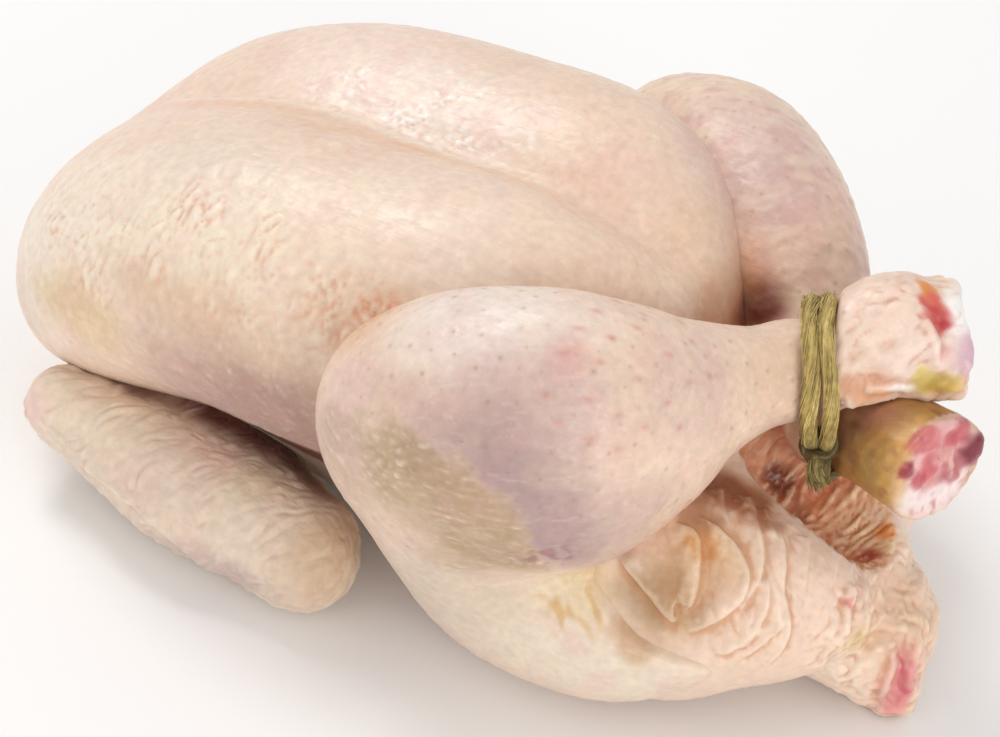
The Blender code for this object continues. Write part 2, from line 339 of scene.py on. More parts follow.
def divide(V, Q, fine=None):
    """Each face marked fine becomes four; a coarse face beside one becomes a fan, so that the mesh stays closed.

    A three-sided face repeats its last corner.
    """
    if fine is None:
        fine = np.ones(len(Q), bool)
    n = len(V)
    A = Q[fine]
    key = np.sort(np.stack([A, np.roll(A, -1, 1)], -1), -1)
    key = key[..., 0] * n + key[..., 1]
    u, inv = np.unique(key.ravel(), return_inverse=True)
    mids = (V[u // n] + V[u % n]) / 2
    inv = inv.reshape(A.shape) + n
    ci = np.arange(len(A)) + n + len(u)
    out = np.empty((len(A), 4, 4), np.int64)
    for k in range(4):
        out[:, k, 0] = A[:, k]
        out[:, k, 1] = inv[:, k]
        out[:, k, 2] = ci
        out[:, k, 3] = inv[:, k - 1]
    V2 = [V, mids, V[A].mean(1)]
    F = [out.reshape(-1, 4)]
    B = Q[~fine]
    if len(B):
        key = np.sort(np.stack([B, np.roll(B, -1, 1)], -1), -1)
        key = key[..., 0] * n + key[..., 1]
        at = np.clip(np.searchsorted(u, key), 0, len(u) - 1)
        split = u[at] == key
        F.append(B[~split.any(1)])
        C, sp, mid = B[split.any(1)], split[split.any(1)], at[split.any(1)] + n
        top = n + len(u) + len(A)
        V2.append(V[C].mean(1))
        cc = top + np.arange(len(C))
        for k in range(4):
            a, b = C[:, k], C[:, (k + 1) % 4]
            m = sp[:, k]
            F.append(np.stack([cc[~m], a[~m], b[~m], b[~m]], 1))
            F.append(np.stack([cc[m], a[m], mid[m, k], mid[m, k]], 1))
            F.append(np.stack([cc[m], mid[m, k], b[m], b[m]], 1))
    return np.vstack(V2), np.vstack(F)


def normals(V, Q):
    a = V[Q[:, 2]] - V[Q[:, 0]]
    b = V[Q[:, 3]] - V[Q[:, 1]]
    fn = np.cross(a, b)
    N = np.stack([sum(np.bincount(Q[:, k], fn[:, i], len(V)) for k in range(4)) for i in range(3)], -1)
    return unit(N)


def averaged(values, Q, n, rounds):
    """Values passed to their neighbours and averaged."""
    for _ in range(rounds):
        face = values[Q].mean(1)
        total = sum(np.bincount(Q[:, k], face, n) for k in range(4))
        count = sum(np.bincount(Q[:, k], minlength=n) for k in range(4))
        values = total / np.maximum(count, 1)
    return values


def make_object(name, V, Q, material, colours=None, extra=None, node="chicken"):
    mesh = bpy.data.meshes.new(name)
    mesh.vertices.add(len(V))
    mesh.vertices.foreach_set("co", ((V + SHIFT) * MM).astype(np.float32).ravel())
    keep = np.ones(Q.shape, bool)
    keep[:, 3] = Q[:, 3] != Q[:, 2]
    sides = keep.sum(1)
    mesh.loops.add(int(sides.sum()))
    mesh.loops.foreach_set("vertex_index", Q[keep].astype(np.int32))
    mesh.polygons.add(len(Q))
    mesh.polygons.foreach_set("loop_start", (np.cumsum(sides) - sides).astype(np.int32))
    mesh.polygons.foreach_set("use_smooth", np.ones(len(Q), bool))
    mesh.update(calc_edges=True)
    if colours is not None:
        a = mesh.color_attributes.new("Col", "FLOAT_COLOR", "POINT")
        a.data.foreach_set("color", np.hstack([linear(colours), np.ones((len(V), 1))]).astype(np.float32).ravel())
    for key, values in (extra or {}).items():
        a = mesh.attributes.new(key, "FLOAT", "POINT")
        a.data.foreach_set("value", values.astype(np.float32))
    mesh.materials.append(material)
    o = bpy.data.objects.new(name, mesh)
    bpy.context.scene.collection.objects.link(o)
    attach(o, "root")
    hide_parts(node)
    return o


def linear(c):
    c = np.clip(c, 0, 1)
    return np.where(c <= 0.04045, c / 12.92, ((c + 0.055) / 1.055) ** 2.4)


# ------------------------------------------------------------------ the bird's pieces
def vent_oval(P):
    return oval(P, *VENT)


def on_floor(f, P):
    return smax(f, -P[:, 2], 2)


def tie_groove(f, P):
    """The skin gives way under the twine."""
    near = np.where((np.abs(P - np.array((87, 1, 76), np.float32)) < (18, 34, 34)).all(-1))[0]
    if len(near):
        f = f.copy()
        d, _ = line_distance(P[near].astype(float), TIE_LOOP, 4, True)
        f[near] = smax(f[near], -(d - 3.7).astype(np.float32), 2.5)
    return f


def body_shape(P):
    f = sweep(P, BACK)
    lobes = smin(sweep(P, BREAST), sweep(P, mirrored(BREAST)), 7)
    f = smin(f, lobes, 15)
    f = f + (2.0 * smooth(42, 60, P[:, 0])).astype(np.float32) * smooth(66, 54, P[:, 2]).astype(np.float32)
    f = smax(f, -vent_oval(P) + 1, 5)
    return on_floor(f, P)


def rear_shape(P):
    f = sweep(P, BACK[3:]) + (2.0 * smooth(56, 38, P[:, 0])).astype(np.float32)
    f = smin(f, smin(sweep(P, NEAR_RUMP), sweep(P, FAR_RUMP), 4), 8)
    f = smin(f, sweep(P, TAIL), 2.5)
    f = smax(f, -vent_oval(P), 3)
    f = smax(f, 36 - P[:, 0], 3)
    return on_floor(f, P)


def near_leg_shape(P):
    drum = smin(sweep(P, NEAR_DRUM, reach=34), cut_end(sweep(P, NEAR_HOCK), P, NEAR_HOCK), 6)
    k = (3 + 29 * smooth(62, 30, P[:, 0])).astype(np.float32)
    thigh = smax(sweep(P, THIGH, up=(0, -1, 0.2), reach=34), -sweep(P, POCKET), 2.5)
    f = smin(drum, thigh, k)
    return on_floor(tie_groove(f, P), P)


def far_leg_shape(P):
    drum = smin(sweep(P, FAR_DRUM, reach=34), cut_end(sweep(P, FAR_HOCK), P, FAR_HOCK), 6)
    k = (8 + 24 * smooth(60, 29, P[:, 0])).astype(np.float32)
    f = smin(drum, sweep(P, mirrored(THIGH), up=(0, 1, 0.2), reach=34), k)
    return on_floor(tie_groove(f, P), P)


def wing_shape(P):
    f = smin(sweep(P, FOREARM), sweep(P, UPPER_ARM), 4)
    return on_floor(f, P)


def far_wing_shape(P):
    return wing_shape(P * np.array((1, -1, 1), np.float32))


# ------------------------------------------------------------------ colours of raw skin
def rgb(*c):
    return np.array(c, float) / 255


SKIN_TONE = (234, 206, 184)
# colour, middle, half sizes, strength: broad places first, small ones over them
TONES = [
    # breast and neck end
    ((244, 228, 211), (-96, -53, 70), (34, 30, 30), 0.9),
    ((241, 224, 205), (-62, -46, 94), (44, 26, 26), 0.9),
    ((237, 216, 197), (0, -36, 106), (46, 26, 18), 0.8),
    ((234, 203, 180), (38, -18, 102), (26, 26, 20), 0.8),
    ((224, 190, 146), (-82, -60, 60), (20, 14, 13), 0.85),
    ((216, 178, 148), (-48, -64, 78), (34, 10, 10), 0.7),
    ((176, 138, 124), (-22, -66, 58), (46, 26, 19), 0.95),
    ((186, 156, 152), (-38, -62, 46), (30, 16, 14), 0.6),
    ((223, 180, 146), (-4, -60, 90), (20, 12, 12), 0.8),
    ((238, 212, 192), (12, -24, 109), (30, 12, 12), 0.6),
    ((240, 222, 210), (-35, 12, 101), (52, 20, 16), 0.9),
    ((241, 216, 202), (-62, 24, 100), (36, 26, 20), 0.7),
    # painted shade: a darker tone where the key lamp's highlight falls on the near breast, to dim it
    ((222, 200, 182), (-56, -33, 95), (26, 18, 12), 0.6),
    ((230, 200, 182), (28, 14, 104), (24, 20, 16), 0.7),
    ((226, 194, 168), (46, 10, 95), (14, 20, 14), 0.7),
    ((212, 152, 110), (58, 8, 80), (9, 26, 14), 0.8),
    ((228, 188, 158), (-34, -9, 100), (40, 5, 7), 0.6),
    ((236, 208, 190), (-78, 2, 88), (26, 22, 14), 0.6),
    # near drumstick and thigh
    ((238, 222, 212), (28, -64, 110), (34, 26, 14), 0.95),
    ((214, 182, 172), (52, -73, 102), (24, 18, 14), 0.8),
    ((222, 192, 177), (74, -44, 98), (22, 20, 16), 0.85),
    ((233, 202, 176), (84, -18, 92), (13, 18, 16), 0.85),
    ((204, 178, 164), (70, -64, 72), (22, 18, 14), 0.85),
    ((226, 194, 182), (7, -83, 86), (13, 14, 20), 0.85),
    ((204, 178, 168), (32, -82, 50), (14, 10, 12), 0.4),
    ((214, 196, 176), (34, -74, 34), (30, 22, 24), 0.85),
    ((234, 219, 200), (66, -64, 26), (34, 24, 18), 0.85),
    ((222, 194, 140), (61, -63, 46), (8, 8, 7), 0.7),
    ((224, 158, 150), (53, -66, 109), (7, 6, 5), 0.35),
    # rump and tail
    ((236, 206, 184), (94, -38, 44), (32, 26, 24), 0.85),
    ((240, 210, 190), (105, -34, 42), (13, 16, 14), 0.8),
    ((214, 172, 128), (82, -48, 56), (14, 12, 9), 0.6),
    # painted shade: greenish grey-brown in the hollow under the drumstick's lower edge
    ((186, 166, 140), (72, -57, 47), (9, 8, 7), 0.8),
    ((196, 142, 104), (82, -28, 59), (12, 8, 6), 0.6),
    ((228, 192, 162), (116, -12, 26), (14, 22, 18), 0.85),
    ((244, 224, 204), (112, -26, 16), (12, 12, 14), 0.7),
    ((222, 150, 146), (122, -15, 14), (6, 8, 13), 0.8),
    ((216, 188, 132), (114, -24, 30), (6, 7, 6), 0.6),
    # far leg
    ((214, 186, 176), (42, 44, 98), (28, 26, 18), 0.8),
    ((222, 186, 168), (70, 38, 90), (20, 20, 18), 0.8),
    ((196, 160, 158), (52, 38, 92), (14, 12, 12), 0.55),
    # painted shadow: dark brown in the crevice on the far drumstick's inner side, between the legs
    ((108, 52, 40), (62, 14, 78), (9, 13, 9), 0.9),
    # near hock
    ((244, 216, 200), (96, -2, 100), (16, 14, 14), 0.85),
    ((240, 218, 206), (106, -2, 94), (12, 12, 10), 0.7),
    ((232, 182, 146), (98, -8, 86), (9, 8, 6), 0.8),
    ((246, 240, 236), (112, 18, 98), (8, 12, 12), 0.8),
]


def tone(P, tones, start, seed=40, roam=4.0):
    W = warp(P, 13, roam, seed)
    col = np.tile(rgb(*start), (len(P), 1))
    for c, at, size, much in tones:
        w = spot(W, at, size, 0.75)[:, None] * much
        col = col * (1 - w) + rgb(*c) * w
    return col


def over(col, w, c):
    w = np.clip(w, 0, 1)[:, None]
    return col * (1 - w) + rgb(*c) * w


def ridged(q, seed):
    """Rounded bumps parted by sharp valleys, about -0.3 to 0.7."""
    return np.abs(noise(q, seed)) * 1.3 - 0.35


def across(P, N, points, reach=12.0, whole=False):
    """Signed distance over the skin from a curve (left of its run is positive), and the place along it."""
    c = curve(points, 8)
    u = np.full(len(P), 99.0)
    s = np.zeros(len(P))
    near = np.where(((P > c.min(0) - reach) & (P < c.max(0) + reach)).all(-1))[0]
    if len(near) == 0:
        return u, s
    Q, M = P[near], N[near]
    best = np.full(len(Q), 1e9)
    ub, sb = np.zeros(len(Q)), np.zeros(len(Q))
    for i in range(len(c) - 1):
        d = c[i + 1] - c[i]
        q = Q - c[i]
        t = np.clip((q @ d) / max(d @ d, 1e-9), 0, 1)
        r = q - t[:, None] * d
        flat = r - (r * M).sum(-1)[:, None] * M
        dist = np.sqrt((flat * flat).sum(-1) + 0.12 * (r * r).sum(-1))
        m = dist < best
        best[m] = dist[m]
        far = r if whole else flat
        side = np.sign((flat * np.cross(M, unit(d))).sum(-1)) * np.sqrt((far * far).sum(-1))
        ub[m] = side[m]
        sb[m] = (i + t[m]) / (len(c) - 1)
    u[near], s[near] = ub, sb
    return u, s


def fold(P, N, points, gentle, steep, height, ends=0.18):
    """Skin that rises gently to an edge and drops behind it: to the left of the curve's run if steep > 0, else to the right."""
    u, s = across(P, N, points, 3 * gentle + 4)
    v = u * math.copysign(1, steep)
    w = abs(steep)
    h = np.where(v < 0, np.exp(-(v / gentle) ** 2), np.exp(-(v / w) ** 2))
    h = h * h * (3 - 2 * h) - 0.25 * np.exp(-((v - 2.4 * w) / (1.5 * w)) ** 2)
    return np.where(np.abs(u) < 90, height * h * smooth(0, ends, s) * smooth(0, ends, 1 - s), 0)


def finish_piece(name, shape, lo, hi, grid, dress, material, beside=(), levels=2):
    """Meshes one part of the bird, finely where it shows, and gives it its skin."""
    V, Q = surface(shape, lo, hi, grid)
    V = settle(shape, V, 2)
    for level in range(levels):
        mid = V[Q].mean(1).astype(np.float32)
        shows = mid[:, 2] > 1.0
        if level:
            for other in beside:
                shows &= other(mid) > -2.2
        V, Q = divide(V, Q, shows)
        V = settle(shape, V, 1)
    V = V.astype(float)
    for _ in range(2):                     # evens out what the joins leave
        V = V * 0.5 + 0.5 * np.stack([averaged(V[:, i], Q, len(V), 1) for i in range(3)], -1)
    N = normals(V, Q)
    H, col = dress(V, N, Q)
    V = V + N * H[:, None]
    V[:, 2] = np.maximum(V[:, 2], 0.0)
    print(f"{name}: {len(V)} vertices, {len(Q) + int((Q[:, 3] != Q[:, 2]).sum())} triangles")
    return make_object(name, V, Q, material, col)


def shaded(col, H, Q, n, deep=(206, 150, 112), pale=(250, 238, 222), a=0.5, b=0.35, rounds=5):
    """Painted shade in the valleys, warmer and darker; painted light on the ridges, paler."""
    low = H - averaged(H, Q, n, rounds)
    col = over(col, smooth(0.02, 0.30, -low) * a, deep)
    return over(col, smooth(0.02, 0.30, low) * b, pale)


def pores(P, N, V_ok, every, seed):
    """Places of feather pores: spread over the skin, no two closer than every millimetres."""
    rng = np.random.default_rng(seed)
    order = rng.permutation(np.where(V_ok)[0])[:9000]
    cells = {}
    kept = []
    for i in order:
        p = P[i]
        k = tuple((p // every).astype(int))
        if any(np.sum((p - q) ** 2) < every * every
               for dx in (-1, 0, 1) for dy in (-1, 0, 1) for dz in (-1, 0, 1)
               for q in cells.get((k[0] + dx, k[1] + dy, k[2] + dz), ())):
            continue
        cells.setdefault(k, []).append(p)
        kept.append(i)
    return kept


def add_pores(P, N, H, col, mask, every, seed, bump=0.22, radius=1.1, pit=0.25, dark=0.35):
    """Small raised rings with a darker pit, where feathers grew."""
    kept = pores(P, N, mask > 0.3, every, seed)
    if not kept:
        return H, col
    tree = KDTree(len(P))
    for i, p in enumerate(P):
        tree.insert(p, i)
    tree.balance()
    rng = np.random.default_rng(seed + 1)
    for i in kept:
        size = radius * rng.uniform(0.75, 1.25)
        much = rng.uniform(0.4, 1.2) * mask[i]
        for co, k, d in tree.find_range(P[i], size * 2.2):
            g = math.exp(-(d / size) ** 2)
            H[k] += much * (bump * g - pit * math.exp(-(d / (size * 0.42)) ** 2))
            w = dark * much * math.exp(-(d / (size * 0.55)) ** 2)
            col[k] = col[k] * (1 - w) + rgb(168, 132, 112) * w
    return H, col


def blotches(col, P, seed, much=1.0):
    a = noise(P / 10, seed)
    b = noise(P / 4, seed + 1)
    c = noise(P / 1.8, seed + 2)
    col = over(col, smooth(0.05, 0.5, a) * 0.16 * much, (226, 176, 166))
    col = over(col, smooth(0.05, 0.5, -a) * 0.14 * much, (240, 220, 184))
    return col + (0.014 * b + 0.010 * c)[:, None] * much * np.array([0.8, 1.0, 1.1])


KEEL_LINE = [(-106, 4, 75), (-91, 0, 84), (-61, 0, 94), (-31, -1, 97), (-9, -1, 98), (14, 0, 99), (30, 2, 98)]


def dress_body(P, N, Q):
    n = len(P)
    W = warp(P, 12, 1.6, 60)
    H = 0.08 * noise(stretch(W, OVER, 5, 1.7), 1) + 0.06 * noise(stretch(W, ALONG, 6, 1.6), 2)
    H += 0.25 * noise(W / 7, 6) * spot(P, (-40, -40, 90), (90, 60, 50))
    patchy = smooth(-0.35, 0.25, noise(P / 13, 10))
    bumpy = np.maximum(spot(P, (-38, -55, 88), (46, 24, 20)), spot(P, (-84, -50, 76), (28, 24, 24)) * 0.8) * (0.45 + 0.55 * patchy)
    H += bumpy * 0.95 * ridged(stretch(W, (0.25, 0.66, 0.70), 6.5, 2.6), 3)
    crease = spot(P, (-6, -58, 91), (20, 12, 13))
    H += crease * 0.75 * ridged(stretch(W, (0.25, 0.75, 0.6), 4.2, 2.0), 4)
    side = spot(P, (-28, -62, 58), (50, 26, 26))
    H += side * 0.30 * ridged(stretch(W, UPRIGHT, 12, 2.4), 5)
    neck = spot(P, (-90, -56, 62), (26, 20, 22))
    H += neck * 0.30 * ridged(stretch(W, (0.2, -0.6, 0.7), 7, 2.8), 7)
    top = spot(P, (-10, -4, 100), (100, 40, 16))
    H += top * 0.20 * ridged(stretch(W, ALONG, 4.0, 1.8), 8)
    wet_glint_area = spot(P, (-30, 11, 99), (44, 15, 12)) * smooth(-0.35, 0.2, noise(P / 9, 19))
    glint_ridges = ridged(W / 2.2, 20)
    H += wet_glint_area * 0.55 * glint_ridges
    H += fold(P, N, KEEL_LINE, 7, 1.6, 0.5, 0.2)
    col = tone(P, TONES, SKIN_TONE)
    col = blotches(col, P, 61)
    u, at = across(P, N, KEEL_LINE, 16, True)
    # painted shade: a warmer, darker band just below the keel line, where the near lobe turns away from the light
    band = np.exp(-((u + 3.5) / 3.5) ** 2) * smooth(0, 0.2, at) * smooth(1, 0.7, at)
    col = over(col, band * 0.45, (228, 182, 148))
    # painted light: a paler band just above the keel line, on the far lobe's lit slope
    band = np.exp(-((u - 2.0) / 2.2) ** 2) * smooth(0, 0.2, at) * smooth(1, 0.7, at)
    col = over(col, band * 0.35, (248, 232, 214))
    # painted reflection: fine whitish streaks of wet sheen across the breast
    sheen_streaks = ridged(stretch(W, OVER, 9, 1.2), 9)
    col = over(col, smooth(0.1, 0.5, sheen_streaks) * 0.14, (252, 244, 232))
    col = over(col, bumpy * 0.4, (244, 229, 206))
    # painted shade in the relief's valleys, warmer and stronger on the bumpy places, and painted light on its ridges
    low = H - averaged(H, Q, n, 5)
    col = over(col, smooth(0.02, 0.25, -low) * (0.35 + 0.4 * np.maximum(bumpy, crease)), (224, 172, 142))
    col = over(col, smooth(0.02, 0.3, low) * 0.4, (250, 238, 220))
    # painted highlight: near-white glints on the ridges of the wet patch on the far breast
    col = over(col, wet_glint_area * smooth(-0.05, 0.25, glint_ridges) * 0.6, (252, 250, 248))
    thread = spot(P, (1, -58, 92), (9, 6, 8), 0.8)
    col = over(col, thread * smooth(-0.02, 0.10, -low) * 0.7, (232, 140, 104))
    # painted shade: dark maroon in the gap between the near wing and the body
    col = over(col, spot(P, (-20, -51, 35), (38, 9, 8)) * 0.8, (92, 48, 38))
    m = spot(P, (-10, 14, 100), (70, 30, 18)) * 0.5 + spot(P, (-60, -50, 88), (40, 26, 20)) * 0.3
    H, col = add_pores(P, N, H, col, m, 5.5, 62, 0.10, 1.0, 0.10, 0.14)
    return H, col


def dress_rear(P, N, Q):
    n = len(P)
    W = warp(P, 9, 1.6, 70)
    H = 0.10 * noise(stretch(W, (0.5, -0.4, 0.75), 8, 1.8), 11) + 0.06 * noise(W / 2, 12)
    H += spot(P, (88, -42, 48), (30, 26, 24)) * 0.55 * ridged(stretch(W, (0.40, -0.5, -0.77), 16, 2.8), 13)
    H += spot(P, (92, -42, 46), (30, 24, 24)) * 0.10 * ridged(stretch(W, (0.45, -0.5, -0.74), 10, 1.3), 14)
    for points, gentle, steep, height in RUMP_FOLDS:
        H += fold(P, N, points, gentle, steep, height)
    H -= 2.4 * spot(P, (72, -58, 46), (9, 8, 8), 0.8)
    # the hollow's ribbed walls
    inside = smooth(2.2, 0.4, np.abs(vent_oval(P.astype(np.float32)))) * smooth(66, 70, P[:, 0])
    H += inside * (1.1 * ridged(stretch(W, (0.30, 0.70, 0.62), 13, 2.6), 15) + 0.4 * ridged(stretch(W, (0.30, 0.70, 0.62), 6, 1.3), 16))
    # the tail's warty skin
    tail = smooth(104, 112, P[:, 0]) * (1 - inside)
    H += tail * (1.1 * noise(W / 5.5, 17) + 0.75 * ridged(W / 3.4, 18))
    for points, gentle, steep, height in TAIL_FOLDS:
        H += fold(P, N, points, gentle, steep, height)
    col = tone(P, TONES, (236, 206, 184), 71, 3.0)
    col = blotches(col, P, 72)
    # painted shade: brown in the sunken pocket under the drumstick's edge
    col = over(col, spot(warp(P, 9, 3, 75), (79, -56, 46), (13, 10, 12)) * 0.8, (184, 144, 104))
    col = over(col, spot(warp(P, 6, 2, 76), (81, -46, 57), (5, 4, 4)) * 0.8, (206, 144, 84))
    col = over(col, spot(warp(P, 5, 2, 77), (81, -29, 60), (15, 8, 6)) * 0.9, (152, 90, 60))
    col = over(col, spot(warp(P, 4, 2, 68), (77, -40, 61.5), (7, 7, 4)) * 0.55, (152, 92, 60))
    col = shaded(col, H, Q, n, (204, 142, 98), (250, 232, 210), 0.5, 0.35, 8)
    col = over(col, spot(warp(P, 3.5, 2.6, 78), (123, -15, 12), (4, 4.2, 12), 0.7) * 0.75, (222, 132, 134))
    col = over(col, spot(warp(P, 3, 2.2, 69), (123, -14.5, 14), (2, 1.6, 9), 0.7) * 0.6, (186, 72, 88))
    col = over(col, spot(warp(P, 2.5, 1.6, 79), (111, -29, 42), (1.4, 1.6, 3.4), 0.7) * 0.6, (204, 112, 106))
    # brown to orange flesh in the hollow, with a painted shadow, a painted highlight, and painted shade and light on
    # its ribs
    deep = tone(P, VENT_TONES, (236, 176, 138), 73, 2.5)
    deep = shaded(deep, H, Q, n, (200, 118, 80), (255, 224, 190), 0.55, 0.7, 6)
    w = (inside * smooth(0.75, 0.35, smooth(0.0, 2.2, vent_oval(P.astype(np.float32)))))[:, None]
    col = col * (1 - w) + deep * w
    m = spot(P, (104, -36, 42), (13, 14, 16)) * 0.6 + tail * 0.8
    H, col = add_pores(P, N, H, col, m, 4.5, 74, 0.15, 0.9, 0.12, 0.25)
    return H, col


# curves over the skin: points, gentle half width, steep half width (and side), height
RUMP_FOLDS = [
    ([(72, -47, 61), (78, -46, 59), (80, -47, 55), (82, -50, 52), (83, -53, 48), (82, -56, 45)], 4.0, 1.0, 2.2),
    ([(65, -54, 53), (70, -56, 50), (75, -57, 47), (80, -57, 44), (82, -56, 44)], 4.0, -1.0, 2.4),
    ([(75, -42, 61), (81, -42, 59), (86, -42, 56), (89, -43, 54), (91, -45, 51), (91, -49, 47), (87, -54, 43), (82, -58, 40)], 4.2, 1.1, 2.0),
    ([(90, -29, 57), (93, -33, 55), (96, -37, 52), (98, -40, 49), (101, -42, 46), (103, -43, 41), (103, -45, 36), (100, -47, 29)], 4.2, 1.1, 1.6),
    ([(102, -42, 45), (99, -46, 40), (97, -49, 36), (93, -52, 33)], 3.4, 1.1, 1.0),
    ([(76, -29, 60), (80, -36, 60), (84, -40, 57)], 3.2, 1.2, 0.8),
    ([(81, -26, 59), (84, -30, 58), (88, -35, 56), (92, -40, 53), (93, -44, 50), (92, -50, 43)], 3.4, 1.0, 1.3),
    ([(94, -41, 52), (96, -43, 49), (97, -46, 44), (95, -51, 39), (90, -56, 35)], 3.0, 0.9, 1.1),
    ([(98, -46, 43), (95, -50, 38), (91, -54, 35)], 2.4, 0.9, 0.7),
    ([(86, -27, 58), (89, -31, 57), (92, -35, 55)], 2.4, 1.0, 0.6),
    ([(97, -25, 54), (99, -30, 52), (101, -34, 50)], 2.4, 1.0, 0.4),
    ([(103, -21, 50), (105, -26, 48), (106, -31, 46)], 2.2, 1.0, 0.3),
]
TAIL_FOLDS = [
    ([(122, -8, 25), (124, -12, 17), (124, -15, 8)], 1.6, 0.8, 1.4),
    ([(120, -16, 24), (121, -19, 16), (121, -20, 8)], 1.6, -0.8, 1.2),
    ([(109, -24, 45), (112, -29, 41), (113, -32, 35)], 1.6, 0.8, 1.6),
    ([(110, -20, 42), (114, -24, 38), (116, -26, 31)], 1.4, 0.8, 1.1),
]
VENT_TONES = [
    ((196, 108, 64), (86, 8, 42), (8, 10, 9), 0.9),
    ((246, 190, 152), (78, 6, 46), (9, 12, 12), 0.9),
    ((255, 222, 188), (101, 5, 38), (12, 10, 10), 0.95),
    ((255, 226, 184), (109, 3, 39), (7, 9, 8), 0.9),
    ((226, 170, 136), (78, -10, 58), (14, 12, 12), 0.9),
    # painted highlight: a small white-pink glint on the wet flesh
    ((250, 226, 214), (101, 7, 40), (3, 3.5, 4), 0.8),
    ((230, 130, 60), (106, 5, 37), (3.5, 3, 4.5), 0.85),
    ((176, 54, 38), (106, -4, 35.5), (3.6, 3.6, 3), 0.9),
    # painted shadow: dark brown where the drumstick's lower edge meets the hollow
    ((104, 46, 28), (79, 4, 40.5), (5, 6, 5), 0.9),
    ((150, 84, 58), (85, -1, 36), (5, 5, 5), 0.6),
    ((255, 214, 176), (98, 6, 37), (5, 5, 5), 0.6),
]


def dress_near_leg(P, N, Q):
    n = len(P)
    W = warp(P, 12, 1.5, 80)
    H = 0.06 * noise(stretch(W, ALONG, 7, 1.5), 21) + 0.05 * noise(W / 2.2, 25)
    # a loose yellowish fold of skin over the knee ends in an uneven edge; beyond it the meat shows mauve
    u, at = across(P, N, KNEE_EDGE, 34, True)
    u = u + 2.6 * noise(P / 6, 29) + 1.3 * noise(P / 1.9, 37)
    here = smooth(-0.02, 0.10, at)
    knee = smooth(3.0, -2.0, u) * smooth(-34, -12, u) * here * smooth(84, 62, P[:, 0]) * (u < 90)
    knee = knee * smooth(30, 60, P[:, 2] + 3 * noise(P / 9, 33)) * smooth(1.0, 0.86, at)
    up = smooth(62, 80, P[:, 2])
    grain = up * ridged(stretch(W, (0.91, 0.41, -0.06), 13, 1.9), 22) + (1 - up) * ridged(stretch(W, (0.89, 0.07, -0.45), 13, 2.0), 38)
    left = smooth(22, 4, P[:, 0])
    grain = (1 - left) * grain + left * ridged(stretch(W, (0.83, -0.52, -0.18), 12, 2.0), 39)
    H += knee * (0.20 + 0.50 * grain + 0.2 * ridged(W / 2.6, 30))
    beyond = smooth(-0.6, 1.5, u) * (u < 90) * here
    low = spot(P, (34, -80, 50), (26, 18, 18))
    H += low * 0.3 * ridged(stretch(W, (0.8, 0, -0.6), 12, 2.6), 26)
    hock = smooth(87, 95, P[:, 0]) * smooth(60, 68, P[:, 2])
    H += hock * (1.0 * noise(W / 6, 23) + 0.55 * ridged(stretch(W, (0.5, 0.3, 0.8), 6.5, 3.2), 24))
    for points, gentle, steep, height in HOCK_FOLDS:
        H += fold(P, N, points, gentle, steep, height)
    col = tone(P, TONES, SKIN_TONE, 81, 3.0)
    Wc = warp(P, 8, 3.0, 86)
    ub = across(Wc, N, KNEE_EDGE, 40, True)[0]
    mauve = np.where(ub < 90, smooth(-2.0, 3.0, u) * np.exp(-np.maximum(np.abs(ub) - 6, 0) ** 2 / 220), 0) * smooth(0.30, 0.66, at) * smooth(76, 60, P[:, 0]) * smooth(50, 64, P[:, 2] + 0.4 * (P[:, 1] + 70))
    col = over(col, spot(Wc, (24, -85, 94), (18, 10, 9)) * 0.5, (208, 172, 160))
    col = over(col, mauve * 0.85, (165, 137, 137))
    col = over(col, spot(Wc, (55, -79, 78), (14, 12, 12)) * beyond * 0.3, (182, 158, 152))
    # painted shade: brown in the fold at the thigh's rear end
    col = over(col, spot(Wc, (75, -62, 39), (7, 6, 7)) * 0.6, (196, 152, 112))
    faded = knee * (0.35 + 0.65 * smooth(12, 30, P[:, 0]))
    col = over(col, faded * 0.8, (170, 141, 113))
    col = over(col, faded * smooth(-0.1, 0.5, noise(P / 7, 34)) * 0.5, (172, 150, 110))
    # painted light: paler on the crests of the knee skin's wrinkles
    col = over(col, knee * smooth(0.0, 0.5, grain) * 0.22, (220, 200, 172))
    col = blotches(col, P, 82)
    col = shaded(col, H, Q, n)
    col = over(col, spot(Wc, (58, -66, 44), (12, 8, 9)) * 0.7, (232, 214, 182))
    col = over(col, spot(P, (57, -74, 62), (8, 7, 6)) * smooth(-0.1, 0.4, noise(P / 2.2, 35)) * 0.6, (150, 96, 104))
    col = over(col, spot(Wc, (60, -65, 41), (10, 7, 9)) * smooth(0.0, 0.3, noise(stretch(P, UPRIGHT, 8, 2.5), 36)) * 0.7, (214, 170, 108))
    # painted reflection: fine whitish lines of wet sheen along the leg
    sheen_lines = ridged(stretch(W, ALONG, 12, 0.9), 27)
    col = over(col, smooth(0.15, 0.5, sheen_lines) * 0.16 * (1 - hock), (250, 240, 232))
    drum = smooth(42, 62, P[:, 2]) * (1 - hock) * (0.35 + 0.65 * smooth(-0.6, 0.2, noise(P / 14, 28)))
    H, col = add_pores(P, N, H, col, drum * (1 - 0.8 * knee), 4.6, 83, 0.20, 0.95, 0.18, 0.46)
    right = spot(P, (62, -54, 102), (24, 26, 16))
    for k in pores(P, N, right > 0.4, 6.5, 87):
        col = over(col, np.exp(-((stretch(P - P[k], ALONG, 1.6, 0.8) ** 2).sum(-1))) * 0.5, (204, 142, 132))
    Wh = warp(P, 3.5, 1.8, 84)
    low = H - averaged(H, Q, n, 4)
    for c, at, size, much in HOCK_TONES:
        col = over(col, spot(Wh, at, size, 0.6) * much, c)
